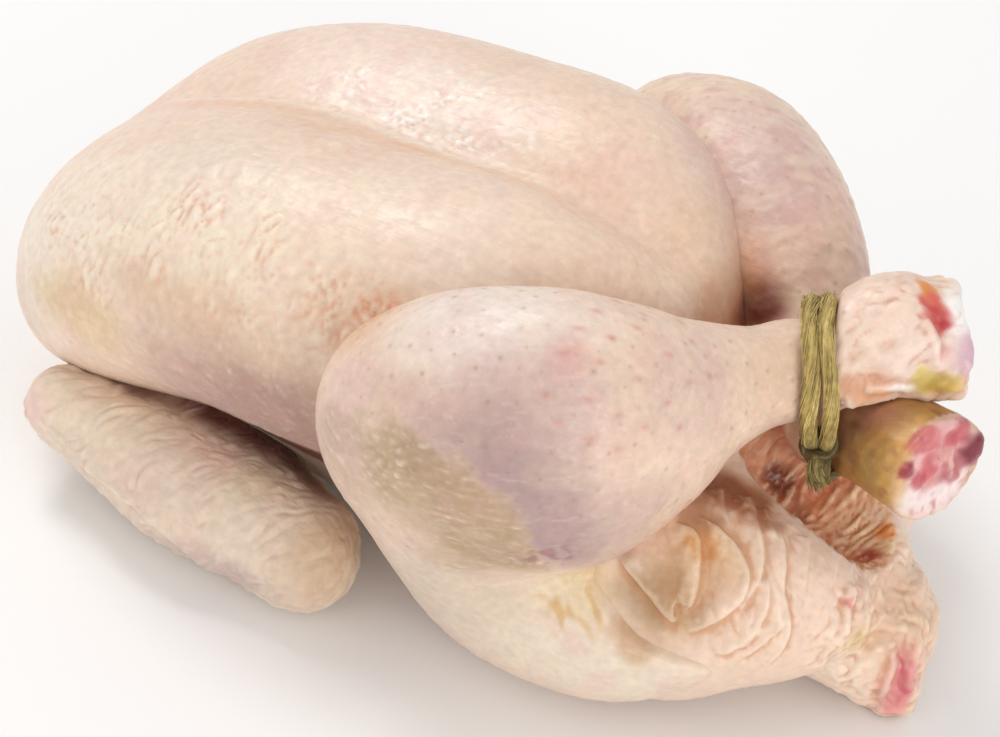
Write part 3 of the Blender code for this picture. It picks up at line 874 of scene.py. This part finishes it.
    # painted shade in the hock's valleys and painted light on its ridges
    col = over(col, hock * smooth(0.05, 0.3, -low) * 0.5, (214, 150, 132))
    col = over(col, hock * smooth(0.05, 0.35, low) * 0.5, (248, 230, 214))
    return H, col


KNEE_EDGE = [(-2, -78, 80), (6, -83, 84), (14, -84, 88), (23, -86, 90), (34, -87, 89), (44, -85, 84), (52, -80, 72), (55, -73, 60), (55, -66, 50)]
HOCK_FOLDS = [
    ([(92, -10, 84), (97, -9, 82), (102, -7, 81), (107, -4, 82)], 3.0, -0.9, 1.6),
    ([(97, -8, 88), (103, -6, 87), (109, -3, 87)], 2.0, 0.8, 1.0),
    ([(106, 3, 104), (110, 2, 99), (112, -1, 93)], 1.6, 0.8, 0.9),
]
# the cut joint of the near leg
HOCK_TONES = [
    ((236, 208, 188), (98, -6, 97), (9, 6, 8), 0.5),
    ((250, 246, 244), (112, 15, 98), (7, 13, 12), 0.95),
    ((212, 174, 192), (117, 6, 94), (4.5, 5, 9), 0.9),
    ((238, 196, 190), (111, 3, 95), (3, 4, 4), 0.8),
    ((200, 76, 70), (107.5, 6.5, 101), (4.6, 4.6, 4.6), 0.9),
    ((214, 96, 84), (104.5, 8.5, 103.5), (4, 3.6, 3), 0.9),
    ((182, 52, 58), (109, 6.5, 99.5), (3, 3, 2.2), 0.8),
    ((188, 58, 60), (105.5, 7, 102), (2, 2, 3), 0.6),
    ((226, 140, 70), (102, 11, 104.4), (3, 2.8, 2.2), 0.9),
    ((192, 160, 70), (113.5, -1, 88.5), (8, 5.5, 4.4), 0.9),
    ((222, 200, 120), (110, -1.5, 91.5), (3.5, 3, 3), 0.7),
    ((228, 190, 110), (117, 3, 88), (4, 4, 3), 0.6),
    ((250, 247, 242), (106, -4, 87.5), (3, 3, 3), 0.8),
    ((232, 178, 138), (100, -8, 85.5), (7, 5, 3), 0.8),
    ((226, 168, 140), (95, -11.5, 88), (4, 4, 3.4), 0.7),
]


def dress_far_leg(P, N, Q):
    n = len(P)
    W = warp(P, 12, 1.5, 100)
    H = 0.07 * noise(stretch(W, ALONG, 7, 1.8), 101) + 0.06 * noise(W / 2.4, 102)
    hock = smooth(90, 98, P[:, 0]) * smooth(48, 56, P[:, 2])
    H += (1 - hock) * 0.2 * ridged(W / 4, 103)
    end = smooth(116.0, 119.5, (P - (120, -8, 72)) @ unit((8.5, -3, 1)) + 120)
    H += hock * (0.35 * noise(W / 6, 104) + 0.12 * ridged(W / 3, 116))
    H += end * (0.35 * ridged(W / 3.2, 105) + 0.12 * noise(W / 2, 106))
    flat = H * end
    for points, gentle, steep, height in FAR_END_FOLDS:
        H += fold(P, N, points, gentle, steep, height)
    H += 1.6 * spot(P, (123.5, 1.5, 74), (4, 4.5, 5), 0.7) - 0.8 * spot(P, (122, -4, 74), (2, 2.2, 5), 0.8)
    col = tone(P, TONES, SKIN_TONE, 107, 3.0)
    col = blotches(col, P, 108, 1.6)
    col = over(col, smooth(0.1, 0.4, noise(stretch(W, ALONG, 9, 4), 113)) * 0.35, (204, 158, 152))
    col = shaded(col, H, Q, n)
    drum = (1 - hock)
    H, col = add_pores(P, N, H, col, drum, 4.6, 109, 0.22, 1.0, 0.18, 0.35)
    # the far joint: brown to olive skin round a raw end
    W2 = warp(P, 4, 1.3, 110)
    skin = tone(P, FAR_HOCK_TONES, (186, 138, 76), 111, 2.0)
    skin = over(skin, smooth(0.0, 0.5, noise(W2 / 5, 114)) * 0.35, (188, 150, 104))
    skin = over(skin, smooth(0.1, 0.5, -noise(W2 / 4, 115)) * 0.35, (132, 84, 56))
    skin = over(skin, spot(W2, (100, -8, 82), (10, 7, 4)) * 0.6, (186, 128, 112))
    skin = skin + (0.03 * noise(stretch(W, (0.9, -0.3, 0.2), 6, 1.4), 112))[:, None]
    w = (smooth(86, 92, P[:, 0]) * smooth(48, 56, P[:, 2]))[:, None]
    col = col * (1 - w) + skin * w
    for c, at, size, much in FAR_END_TONES:
        col = over(col, spot(W2, at, size, 0.45) * much * (end > 0.02), c)
    col = shaded(col, flat, Q, n, (158, 50, 58), (250, 226, 220), 0.5, 0.35)
    return H, col


FAR_HOCK_TONES = [
    ((150, 104, 74), (97, -9, 76), (9, 9, 9), 0.9),
    ((172, 136, 78), (108, -19, 72), (9, 9, 10), 0.8),
    ((224, 172, 100), (113, -12, 81), (4, 9, 6), 0.85),
    ((222, 176, 100), (113, -19, 73), (4, 5, 9), 0.8),
    ((224, 196, 150), (116, -14, 62), (8, 10, 7), 0.7),
]
FAR_END_TONES = [
    ((238, 208, 202), (120, -8, 73), (9, 18, 18), 1.0),
    ((218, 148, 144), (120, -9, 76), (7, 11, 10), 0.9),
    ((204, 106, 108), (117, -13, 82), (6, 5, 3.5), 0.8),
    ((206, 100, 108), (119, -12, 75), (4, 3, 4), 0.8),
    ((236, 180, 180), (118, -15, 79), (3, 2.2, 2.5), 0.8),
    ((146, 42, 54), (116, -18, 76.5), (3, 2.4, 2.8), 0.9),
    ((186, 70, 82), (117.5, -15, 73), (3, 3, 2.4), 0.7),
    ((246, 226, 224), (121, -8, 66), (7, 9, 4.5), 0.9),
    ((248, 240, 236), (116, -17, 68), (4, 4, 5), 0.6),
    ((194, 84, 92), (121, -3, 80), (4, 5.5, 3.5), 0.85),
    ((124, 44, 56), (124, 1.5, 74), (4.8, 4.6, 5.4), 1.0),
    ((168, 86, 100), (124, 3, 71), (3, 2.5, 2.5), 0.7),
    ((178, 92, 96), (121.5, -4.5, 71), (4, 5, 4), 0.7),
    ((236, 196, 190), (121.5, -5, 74), (2, 1.2, 5), 0.75),
]
FAR_END_FOLDS = [
    ([(115, -19, 74), (114, -17, 80), (116, -11, 84), (119, -5, 84), (122, 1, 79)], 1.6, 0.9, 0.7),
    ([(122, -5, 81), (122.5, -5, 76), (123, -4, 70), (123, -1, 67)], 1.2, 0.8, 0.7),
    ([(117, -15, 81), (119, -10, 79), (119.5, -9, 75), (118, -13, 72)], 1.2, -0.8, 0.6),
]


def dress_wing(P, N, Q):
    n = len(P)
    W = warp(P, 10, 1.8, 90)
    H = 0.65 * ridged(stretch(W, WINGWISE, 9.5, 3.4), 31) + 0.10 * ridged(stretch(W, WINGWISE, 5, 1.7), 32)
    H += 0.45 * noise(W / 9, 33)
    # the folded wing tip shows as a smoother layer below
    H += fold(P, N, WING_TIP, 5, -1.0, 1.5, 0.12)
    col = tone(P, WING_TONES, (228, 208, 188), 91, 3.0)
    col = blotches(col, P, 92, 0.8)
    col = shaded(col, H, Q, n, (212, 168, 140), (250, 238, 222), 0.5, 0.45, 5)
    return H, col


WING_TIP = [(-78, -67, 20), (-66, -71, 21), (-56, -74, 20), (-47, -75, 17), (-38, -74, 12), (-28, -73, 7)]
WING_TONES = [
    ((222, 200, 182), (-55, -68, 28), (36, 20, 16), 0.8),
    ((234, 214, 190), (-75, -62, 30), (22, 16, 10), 0.7),
    ((236, 204, 194), (-95, -62, 24), (9, 10, 8), 0.8),
    ((224, 184, 170), (-42, -60, 33), (9, 8, 7), 0.5),
    ((226, 208, 170), (-29, -62, 32), (9, 8, 7), 0.5),
    ((196, 166, 134), (-6, -66, 22), (13, 16, 16), 0.7),
    ((194, 170, 164), (-34, -74, 10), (26, 8, 8), 0.8),
    # painted shade: dark maroon in the gap between the wing and the body
    ((80, 38, 30), (-40, -45, 33), (60, 8.5, 13), 1.0),
]


def dress_far_wing(P, N, Q):
    m = np.array((1, -1, 1))
    return dress_wing(P * m, N * m, Q)


# ------------------------------------------------------------------ materials
def node(nt, kind, x=0, y=0, **props):
    n = nt.nodes.new(kind)
    n.location = (x, y)
    for k, v in props.items():
        setattr(n, k, v)
    return n


def skin_material(name, rough=0.46, sub=0.22, coat=0.30):
    m = bpy.data.materials.new(name)
    m.use_nodes = True
    nt = m.node_tree
    nt.nodes.clear()
    out = node(nt, "ShaderNodeOutputMaterial", 900)
    b = node(nt, "ShaderNodeBsdfPrincipled", 600)
    nt.links.new(b.outputs[0], out.inputs[0])
    b.inputs["Subsurface Weight"].default_value = sub
    b.inputs["Subsurface Radius"].default_value = (1.0, 0.42, 0.25)
    b.inputs["Subsurface Scale"].default_value = 0.0022
    b.inputs["Coat Weight"].default_value = coat
    b.inputs["Coat Roughness"].default_value = 0.28
    b.inputs["Coat IOR"].default_value = 1.4
    b.inputs["IOR"].default_value = 1.42
    tex = node(nt, "ShaderNodeTexCoord", -900)
    col = node(nt, "ShaderNodeVertexColor", -600, 200, layer_name="Col")
    # fine mottling
    n1 = node(nt, "ShaderNodeTexNoise", -600, 0)
    n1.inputs["Scale"].default_value = 420
    n1.inputs["Detail"].default_value = 5
    nt.links.new(tex.outputs["Object"], n1.inputs["Vector"])
    ramp = node(nt, "ShaderNodeMapRange", -380, 0)
    ramp.inputs["From Min"].default_value = 0.3
    ramp.inputs["From Max"].default_value = 0.7
    ramp.inputs["To Min"].default_value = 0.93
    ramp.inputs["To Max"].default_value = 1.06
    nt.links.new(n1.outputs["Fac"], ramp.inputs["Value"])
    mul = node(nt, "ShaderNodeVectorMath", -120, 150, operation="MULTIPLY")
    nt.links.new(col.outputs["Color"], mul.inputs[0])
    nt.links.new(ramp.outputs["Result"], mul.inputs[1])
    nt.links.new(mul.outputs[0], b.inputs["Base Color"])
    # wetness
    n2 = node(nt, "ShaderNodeTexNoise", -600, -250)
    n2.inputs["Scale"].default_value = 260
    n2.inputs["Detail"].default_value = 5
    nt.links.new(tex.outputs["Object"], n2.inputs["Vector"])
    r2 = node(nt, "ShaderNodeMapRange", -380, -250)
    r2.inputs["From Min"].default_value = 0.35
    r2.inputs["From Max"].default_value = 0.65
    r2.inputs["To Min"].default_value = rough - 0.1
    r2.inputs["To Max"].default_value = rough + 0.14
    nt.links.new(n2.outputs["Fac"], r2.inputs["Value"])
    nt.links.new(r2.outputs["Result"], b.inputs["Roughness"])
    # fine wrinkles
    n3 = node(nt, "ShaderNodeTexNoise", -600, -500)
    n3.inputs["Scale"].default_value = 520
    n3.inputs["Detail"].default_value = 2
    nt.links.new(tex.outputs["Object"], n3.inputs["Vector"])
    long = node(nt, "ShaderNodeMapping", -800, -750)
    long.inputs["Rotation"].default_value = (0, 0, math.radians(-31))
    long.inputs["Scale"].default_value = (170, 800, 800)
    nt.links.new(tex.outputs["Object"], long.inputs["Vector"])
    n4 = node(nt, "ShaderNodeTexNoise", -600, -750)
    n4.inputs["Scale"].default_value = 1
    n4.inputs["Detail"].default_value = 3
    nt.links.new(long.outputs[0], n4.inputs["Vector"])
    both = node(nt, "ShaderNodeMath", -300, -600, operation="ADD")
    nt.links.new(n3.outputs["Fac"], both.inputs[0])
    nt.links.new(n4.outputs["Fac"], both.inputs[1])
    bump = node(nt, "ShaderNodeBump", 300, -400)
    bump.inputs["Strength"].default_value = 0.55
    bump.inputs["Distance"].default_value = 0.00028
    nt.links.new(both.outputs[0], bump.inputs["Height"])
    nt.links.new(bump.outputs["Normal"], b.inputs["Normal"])
    nt.links.new(bump.outputs["Normal"], b.inputs["Coat Normal"])
    return m


def twine_material():
    m = bpy.data.materials.new("jute")
    m.use_nodes = True
    nt = m.node_tree
    b = nt.nodes["Principled BSDF"]
    b.inputs["Roughness"].default_value = 0.7
    tex = node(nt, "ShaderNodeTexCoord", -900)
    col = node(nt, "ShaderNodeVertexColor", -600, 200, layer_name="Col")
    n1 = node(nt, "ShaderNodeTexNoise", -600, 0)
    n1.inputs["Scale"].default_value = 500
    n1.inputs["Detail"].default_value = 4
    nt.links.new(tex.outputs["Object"], n1.inputs["Vector"])
    ramp = node(nt, "ShaderNodeMapRange", -380, 0)
    ramp.inputs["From Min"].default_value = 0.3
    ramp.inputs["From Max"].default_value = 0.7
    ramp.inputs["To Min"].default_value = 0.75
    ramp.inputs["To Max"].default_value = 1.15
    nt.links.new(n1.outputs["Fac"], ramp.inputs["Value"])
    mul = node(nt, "ShaderNodeVectorMath", -120, 150, operation="MULTIPLY")
    nt.links.new(col.outputs["Color"], mul.inputs[0])
    nt.links.new(ramp.outputs["Result"], mul.inputs[1])
    nt.links.new(mul.outputs[0], b.inputs["Base Color"])
    return m


# ------------------------------------------------------------------ twine
STRAW, OCHRE, OLIVE = (232, 212, 140), (186, 160, 92), (112, 92, 48)


def tubes(paths, outs, radii, sides, closed=False):
    """Closed tubes round many paths at once. paths, outs: (tubes, points, 3); radii: (tubes, points) or with angles."""
    F, M = paths.shape[:2]
    if closed:
        way = unit(np.roll(paths, -1, 1) - np.roll(paths, 1, 1))
    else:
        way = unit(np.gradient(paths, axis=1))
    s = unit(np.cross(way, outs))
    o = np.cross(s, way)
    a = 2 * np.pi * np.arange(sides) / sides
    r = radii if radii.ndim == 3 else radii[:, :, None] * np.ones(sides)
    V = paths[:, :, None] + (np.cos(a) * r)[..., None] * s[:, :, None] + (np.sin(a) * r)[..., None] * o[:, :, None]
    k = np.arange(sides)
    n = M if closed else M - 1
    i = np.arange(n)[:, None]
    j = (i + 1) % M
    ring = np.stack([i * sides + k, j * sides + k, j * sides + (k + 1) % sides, i * sides + (k + 1) % sides], -1).reshape(-1, 4)
    V = V.reshape(F, M * sides, 3)
    if not closed:
        V = np.concatenate([V, paths[:, :1], paths[:, -1:]], 1)
        first, last = M * sides, M * sides + 1
        a0 = np.stack([k * 0 + first, k, (k + 1) % sides, (k + 1) % sides], -1)
        b0 = (M - 1) * sides
        a1 = np.stack([k * 0 + last, b0 + (k + 1) % sides, b0 + k, b0 + k], -1)
        ring = np.vstack([ring, a0, a1])
    per = V.shape[1]
    Q = (ring[None] + per * np.arange(F)[:, None, None]).reshape(-1, 4)
    return V.reshape(-1, 3), Q, per


def around(path, closed):
    """A lookup of middle, side and outward directions by length along a path."""
    if closed:
        way = unit(np.roll(path, -1, 0) - np.roll(path, 1, 0))
        heart = path.mean(0)
        side = unit(np.cross(way, path - heart))
    else:
        way = unit(np.gradient(path, axis=0))
        side = unit(np.cross(way, np.array((0.5, -0.8, 0.3))))
    out = np.cross(side, way)
    step = np.linalg.norm(np.diff(np.vstack([path, path[:1]]) if closed else path, axis=0), axis=1)
    S = np.concatenate([[0], np.cumsum(step)])
    total = S[-1]
    table = np.hstack([path, side, out])
    table = np.vstack([table, table[:1]]) if closed else table

    def look(s):
        s = np.mod(s, total) if closed else np.clip(s, 0, total)
        T = np.stack([np.interp(s, S, table[:, c]) for c in range(9)], -1)
        return T[..., :3], unit(T[..., 3:6]), unit(T[..., 6:])
    return look, total


def make_twine():
    rng = np.random.default_rng(5)
    few = 1.0
    look, total = around(curve(TIE_LOOP, 40, True), True)

    def strand(s, sign):
        p, side, out = look(s)
        low = smooth(75, 68, p[..., 2]) * smooth(10, 2, p[..., 1])       # drawn together under the knot
        top = np.exp(-((p[..., 2] - 99) / 5) ** 2)
        r = STRAND * np.where(sign > 0, 0.98, 0.86) * (1 - 0.30 * low)
        step = STRAND_STEP * (1.02 - 0.46 * low - 0.16 * top)
        wave = 0.35 * np.sin(s * 0.19 + sign) * (1 - low)
        return p + side * (sign * step + wave)[..., None], side, out, r, low

    V, Q, C, count = [], [], [], 0

    def add(v, q, c):
        nonlocal count
        V.append(v)
        Q.append(q + count)
        C.append(c)
        count += len(v)

    def hue(k, low):
        """Straw to olive by k, darker by low."""
        k = np.clip(k, 0, 1)[..., None]
        c = np.where(k < 0.5, rgb(*OLIVE) + (rgb(*OCHRE) - rgb(*OLIVE)) * k * 2, rgb(*OCHRE) + (rgb(*STRAW) - rgb(*OCHRE)) * (k * 2 - 1))
        return c * (1 - 0.35 * low[..., None])

    # the strands' bodies
    m = int(total / (0.8))
    sides = 24
    a = 2 * np.pi * np.arange(sides) / sides
    for sign in (-1, 1):
        s = np.arange(m) * total / m
        c, side, out, r, low = strand(s, sign)
        lay = a[None] + 0.10 * s[:, None]
        grain = noise(np.stack([3.4 * np.cos(lay), 3.4 * np.sin(lay), np.broadcast_to(s[:, None] / 7, lay.shape)], -1).reshape(-1, 3).astype(np.float32), 41).reshape(lay.shape)
        rr = r[:, None] * (0.93 + 0.09 * grain)
        v, q, per = tubes(c[None], out[None], rr[None], sides, True)
        add(v, q, hue(0.45 + 0.5 * grain.reshape(-1), np.repeat(low, sides)))

    def hairs(number, length, lift, loose, thick, points=9, corners=4):
        """Fibres lying along the strands; loose lets their ends stand off."""
        n = int(number * few)
        sign = rng.choice((-1, 1), n)
        s0 = rng.uniform(0, total, n)
        L = rng.uniform(*length, n)
        a0 = rng.uniform(0, 2 * np.pi, n)
        t = np.linspace(0, 1, points)[None]
        s = s0[:, None] + L[:, None] * t
        c, side, out, r, low = strand(s, sign[:, None])
        ang = a0[:, None] - 0.10 * s + 0.25 * np.sin(rng.uniform(0, 6, n)[:, None] + 3 * t)
        up = rng.uniform(*lift, n)[:, None] + loose * rng.uniform(0.3, 1, n)[:, None] * np.clip(t * 1.6 - 0.6, 0, 1) ** 1.5
        up = up - 0.25 * (1 - np.sin(np.pi * t) ** 0.3) * (loose == 0)
        e = np.cos(ang)[..., None] * side + np.sin(ang)[..., None] * out
        path = c + e * (r * 0.97 + up)[..., None]
        rad = rng.uniform(*thick, n)[:, None] * (0.35 + 0.65 * np.sin(np.pi * np.clip(t * 0.94 + 0.03, 0, 1)) ** 0.5)
        v, q, per = tubes(path, e, rad, corners)
        k = rng.uniform(0.25, 1.0, n)
        col = hue(np.repeat(k, per), np.repeat(low.mean(1), per))
        add(v, q, col)

    hairs(760, (9, 24), (-0.05, 0.06), 0, (0.08, 0.15))
    hairs(240, (5, 12), (0.0, 0.1), 0.9, (0.06, 0.10), 8, 3)

    # the knot: two turns round both strands, and its frayed ends
    _, knot_side, knot_out = look(np.array([KNOT_S * total]))
    p0 = look(np.array([KNOT_S * total]))[0][0]
    along = np.cross(knot_out[0], knot_side[0])
    for turn, (shift, tilt, wide) in enumerate(((-0.9, 0.55, 3.3), (1.1, -0.45, 3.0))):
        t = np.linspace(0, 2 * np.pi, 40, endpoint=False)
        ringpath = p0 + along * shift + np.cos(t)[:, None] * knot_side[0] * wide + np.sin(t)[:, None] * (knot_out[0] * 2.6 + along * tilt * 3)
        rl, rt = around(ringpath, True)
        s = np.arange(60) * rt / 60
        c, side, out = rl(s)
        lay = a[None] + 0.5 * s[:, None]
        grain = noise(np.stack([3 * np.cos(lay), 3 * np.sin(lay), np.broadcast_to(s[:, None] / 5, lay.shape)], -1).reshape(-1, 3).astype(np.float32), 43 + turn).reshape(lay.shape)
        v, q, per = tubes(c[None], out[None], (1.15 * (0.93 + 0.12 * grain))[None], sides, True)
        add(v, q, hue(0.2 + 0.5 * grain.reshape(-1), np.full(len(v), 0.9)))
        n = int(60 * few)
        t = np.linspace(0, 1, 7)[None]
        s = rng.uniform(0, rt, n)[:, None] + rng.uniform(4, 9, n)[:, None] * t
        c, side, out = rl(s)
        ang = rng.uniform(0, 2 * np.pi, n)[:, None] - 0.2 * s
        e = np.cos(ang)[..., None] * side + np.sin(ang)[..., None] * out
        v, q, per = tubes(c + e * 1.25, e, rng.uniform(0.1, 0.2, n)[:, None] * np.sin(np.pi * np.clip(t, 0.08, 0.92)), 4)
        add(v, q, hue(np.repeat(rng.uniform(0.0, 0.5, n), per), np.full(len(v), 0.9)))
    for points in TIE_ENDS:
        rl, rt = around(curve(points, 12), False)
        s = np.linspace(0, rt, 24)
        c, side, out = rl(s)
        lay = a[None] + 0.3 * s[:, None]
        grain = noise(np.stack([3 * np.cos(lay), 3 * np.sin(lay), np.broadcast_to(s[:, None] / 4, lay.shape)], -1).reshape(-1, 3).astype(np.float32), 47).reshape(lay.shape)
        rr = np.linspace(1.35, 0.9, 24)[:, None] * (0.9 + 0.2 * grain)
        v, q, per = tubes(c[None], out[None], rr[None], sides)
        add(v, q, hue(0.3 + 0.5 * np.concatenate([grain.reshape(-1), [0, 0]]), np.full(len(v), 0.6)))
        n = int(170 * few)
        t = np.linspace(0, 1, 8)[None]
        s = rng.uniform(0, rt * 0.75, n)[:, None] + rng.uniform(2, 5, n)[:, None] * t
        c, side, out = rl(s)
        past = np.maximum(s - rt, 0)[..., None]                   # beyond the cut end
        c = c + past * unit(np.array(points[-1], float) - np.array(points[-2], float))
        ang = rng.uniform(0, 2 * np.pi, n)[:, None] + 0.2 * s
        e = np.cos(ang)[..., None] * side + np.sin(ang)[..., None] * out
        off = 1.15 + rng.uniform(-0.2, 0.2, n)[:, None] + rng.uniform(-0.5, 0.7, n)[:, None] * t ** 2
        v, q, per = tubes(c + e * off[..., None], e, rng.uniform(0.07, 0.16, n)[:, None] * np.sin(np.pi * np.clip(t, 0.08, 0.92)) ** 0.5, 3)
        add(v, q, hue(np.repeat(rng.uniform(0.1, 0.9, n), per), np.full(len(v), 0.5)))
    V, Q, C = np.vstack(V), np.vstack(Q), np.vstack(C)
    print(f"tie: {len(V)} vertices, {len(Q) + int((Q[:, 3] != Q[:, 2]).sum())} triangles")
    make_object("tie", V, Q, JUTE, C, node="twine")


# ------------------------------------------------------------------ make everything
SKIN = skin_material("raw_skin")
K = 1.0
finish_piece("body", body_shape, (-150, -100, -6), (70, 100, 125), 3.75 * K, dress_body, SKIN,
             (rear_shape, near_leg_shape, far_leg_shape, wing_shape, far_wing_shape))
finish_piece("rear", rear_shape, (30, -70, -6), (135, 62, 75), 2.2 * K, dress_rear, SKIN,
             (body_shape, near_leg_shape, far_leg_shape))
finish_piece("leg_near", near_leg_shape, (-25, -105, -6), (132, 45, 122), 2.6 * K, dress_near_leg, SKIN,
             (body_shape, rear_shape))
finish_piece("leg_far", far_leg_shape, (-25, -30, -6), (140, 105, 115), 3.2 * K, dress_far_leg, SKIN,
             (body_shape, rear_shape))
finish_piece("wing_near", wing_shape, (-112, -85, -6), (5, -10, 62), 1.7 * K, dress_wing, SKIN,
             (body_shape, near_leg_shape))
finish_piece("wing_far", far_wing_shape, (-112, 10, -6), (5, 85, 62), 3.2 * K, dress_far_wing, SKIN,
             (body_shape, far_leg_shape))

JUTE = twine_material()
make_twine()

# ------------------------------------------------------------------ floor, light, camera
def lamp(name, at, aim, size, watts, colour=(1, 1, 1)):
    d = bpy.data.lights.new(name, 'AREA')
    d.shape = 'DISK'
    d.size = size
    d.energy = watts
    d.color = colour
    o = bpy.data.objects.new(name, d)
    o.location = at
    o.rotation_euler = (Vector(aim) - Vector(at)).to_track_quat('-Z', 'Y').to_euler()
    bpy.context.scene.collection.objects.link(o)
    return o


floor_mesh = bpy.data.meshes.new("floor")
floor_mesh.from_pydata([(-6, -6, 0), (6, -6, 0), (6, 6, 0), (-6, 6, 0)], [], [(0, 1, 2, 3)])
floor = bpy.data.objects.new("floor", floor_mesh)
floor.location = (0, 0, -0.0003)
bpy.context.scene.collection.objects.link(floor)
fm = bpy.data.materials.new("floor")
fm.use_nodes = True
fb = fm.node_tree.nodes["Principled BSDF"]
fb.inputs["Base Color"].default_value = (0.96, 0.96, 0.96, 1)
fb.inputs["Roughness"].default_value = 0.9
floor_mesh.materials.append(fm)

world = bpy.data.worlds.new("studio")
bpy.context.scene.world = world
world.use_nodes = True
world.node_tree.nodes["Background"].inputs[0].default_value = (1, 1, 1, 1)
world.node_tree.nodes["Background"].inputs[1].default_value = 0.66

lamp("key", (-0.7, 0.25, 1.15), (0, 0, 0.05), 0.5, 6.0, (1, 0.98, 0.96))
lamp("right", (1.0, -0.7, 0.42), (0.05, 0, 0.05), 0.6, 4.8, (1, 0.985, 0.96))
lamp("front", (-0.7, -1.1, 0.55), (0, 0, 0.05), 0.9, 1.3, (1, 0.99, 0.98))

az, el, roll, away = math.radians(28), math.radians(38), math.radians(5), 0.736
back = Vector((math.sin(az) * math.cos(el), -math.cos(az) * math.cos(el), math.sin(el)))
right = Vector((math.cos(az), math.sin(az), 0))
top = back.cross(right)
right2 = right * math.cos(roll) + top * math.sin(roll)
top2 = top * math.cos(roll) - right * math.sin(roll)
target = Vector((0.001688, -0.0006, 0.0414))
cd = bpy.data.cameras.new("view")
cd.sensor_width = 36
cd.lens = 106.56
cam = bpy.data.objects.new("view", cd)
cam.matrix_world = Matrix.Translation(target + back * away) @ Matrix((right2, top2, back)).transposed().to_4x4()
bpy.context.scene.collection.objects.link(cam)
bpy.context.scene.camera = cam
bpy.context.scene.view_settings.view_transform = "Standard"
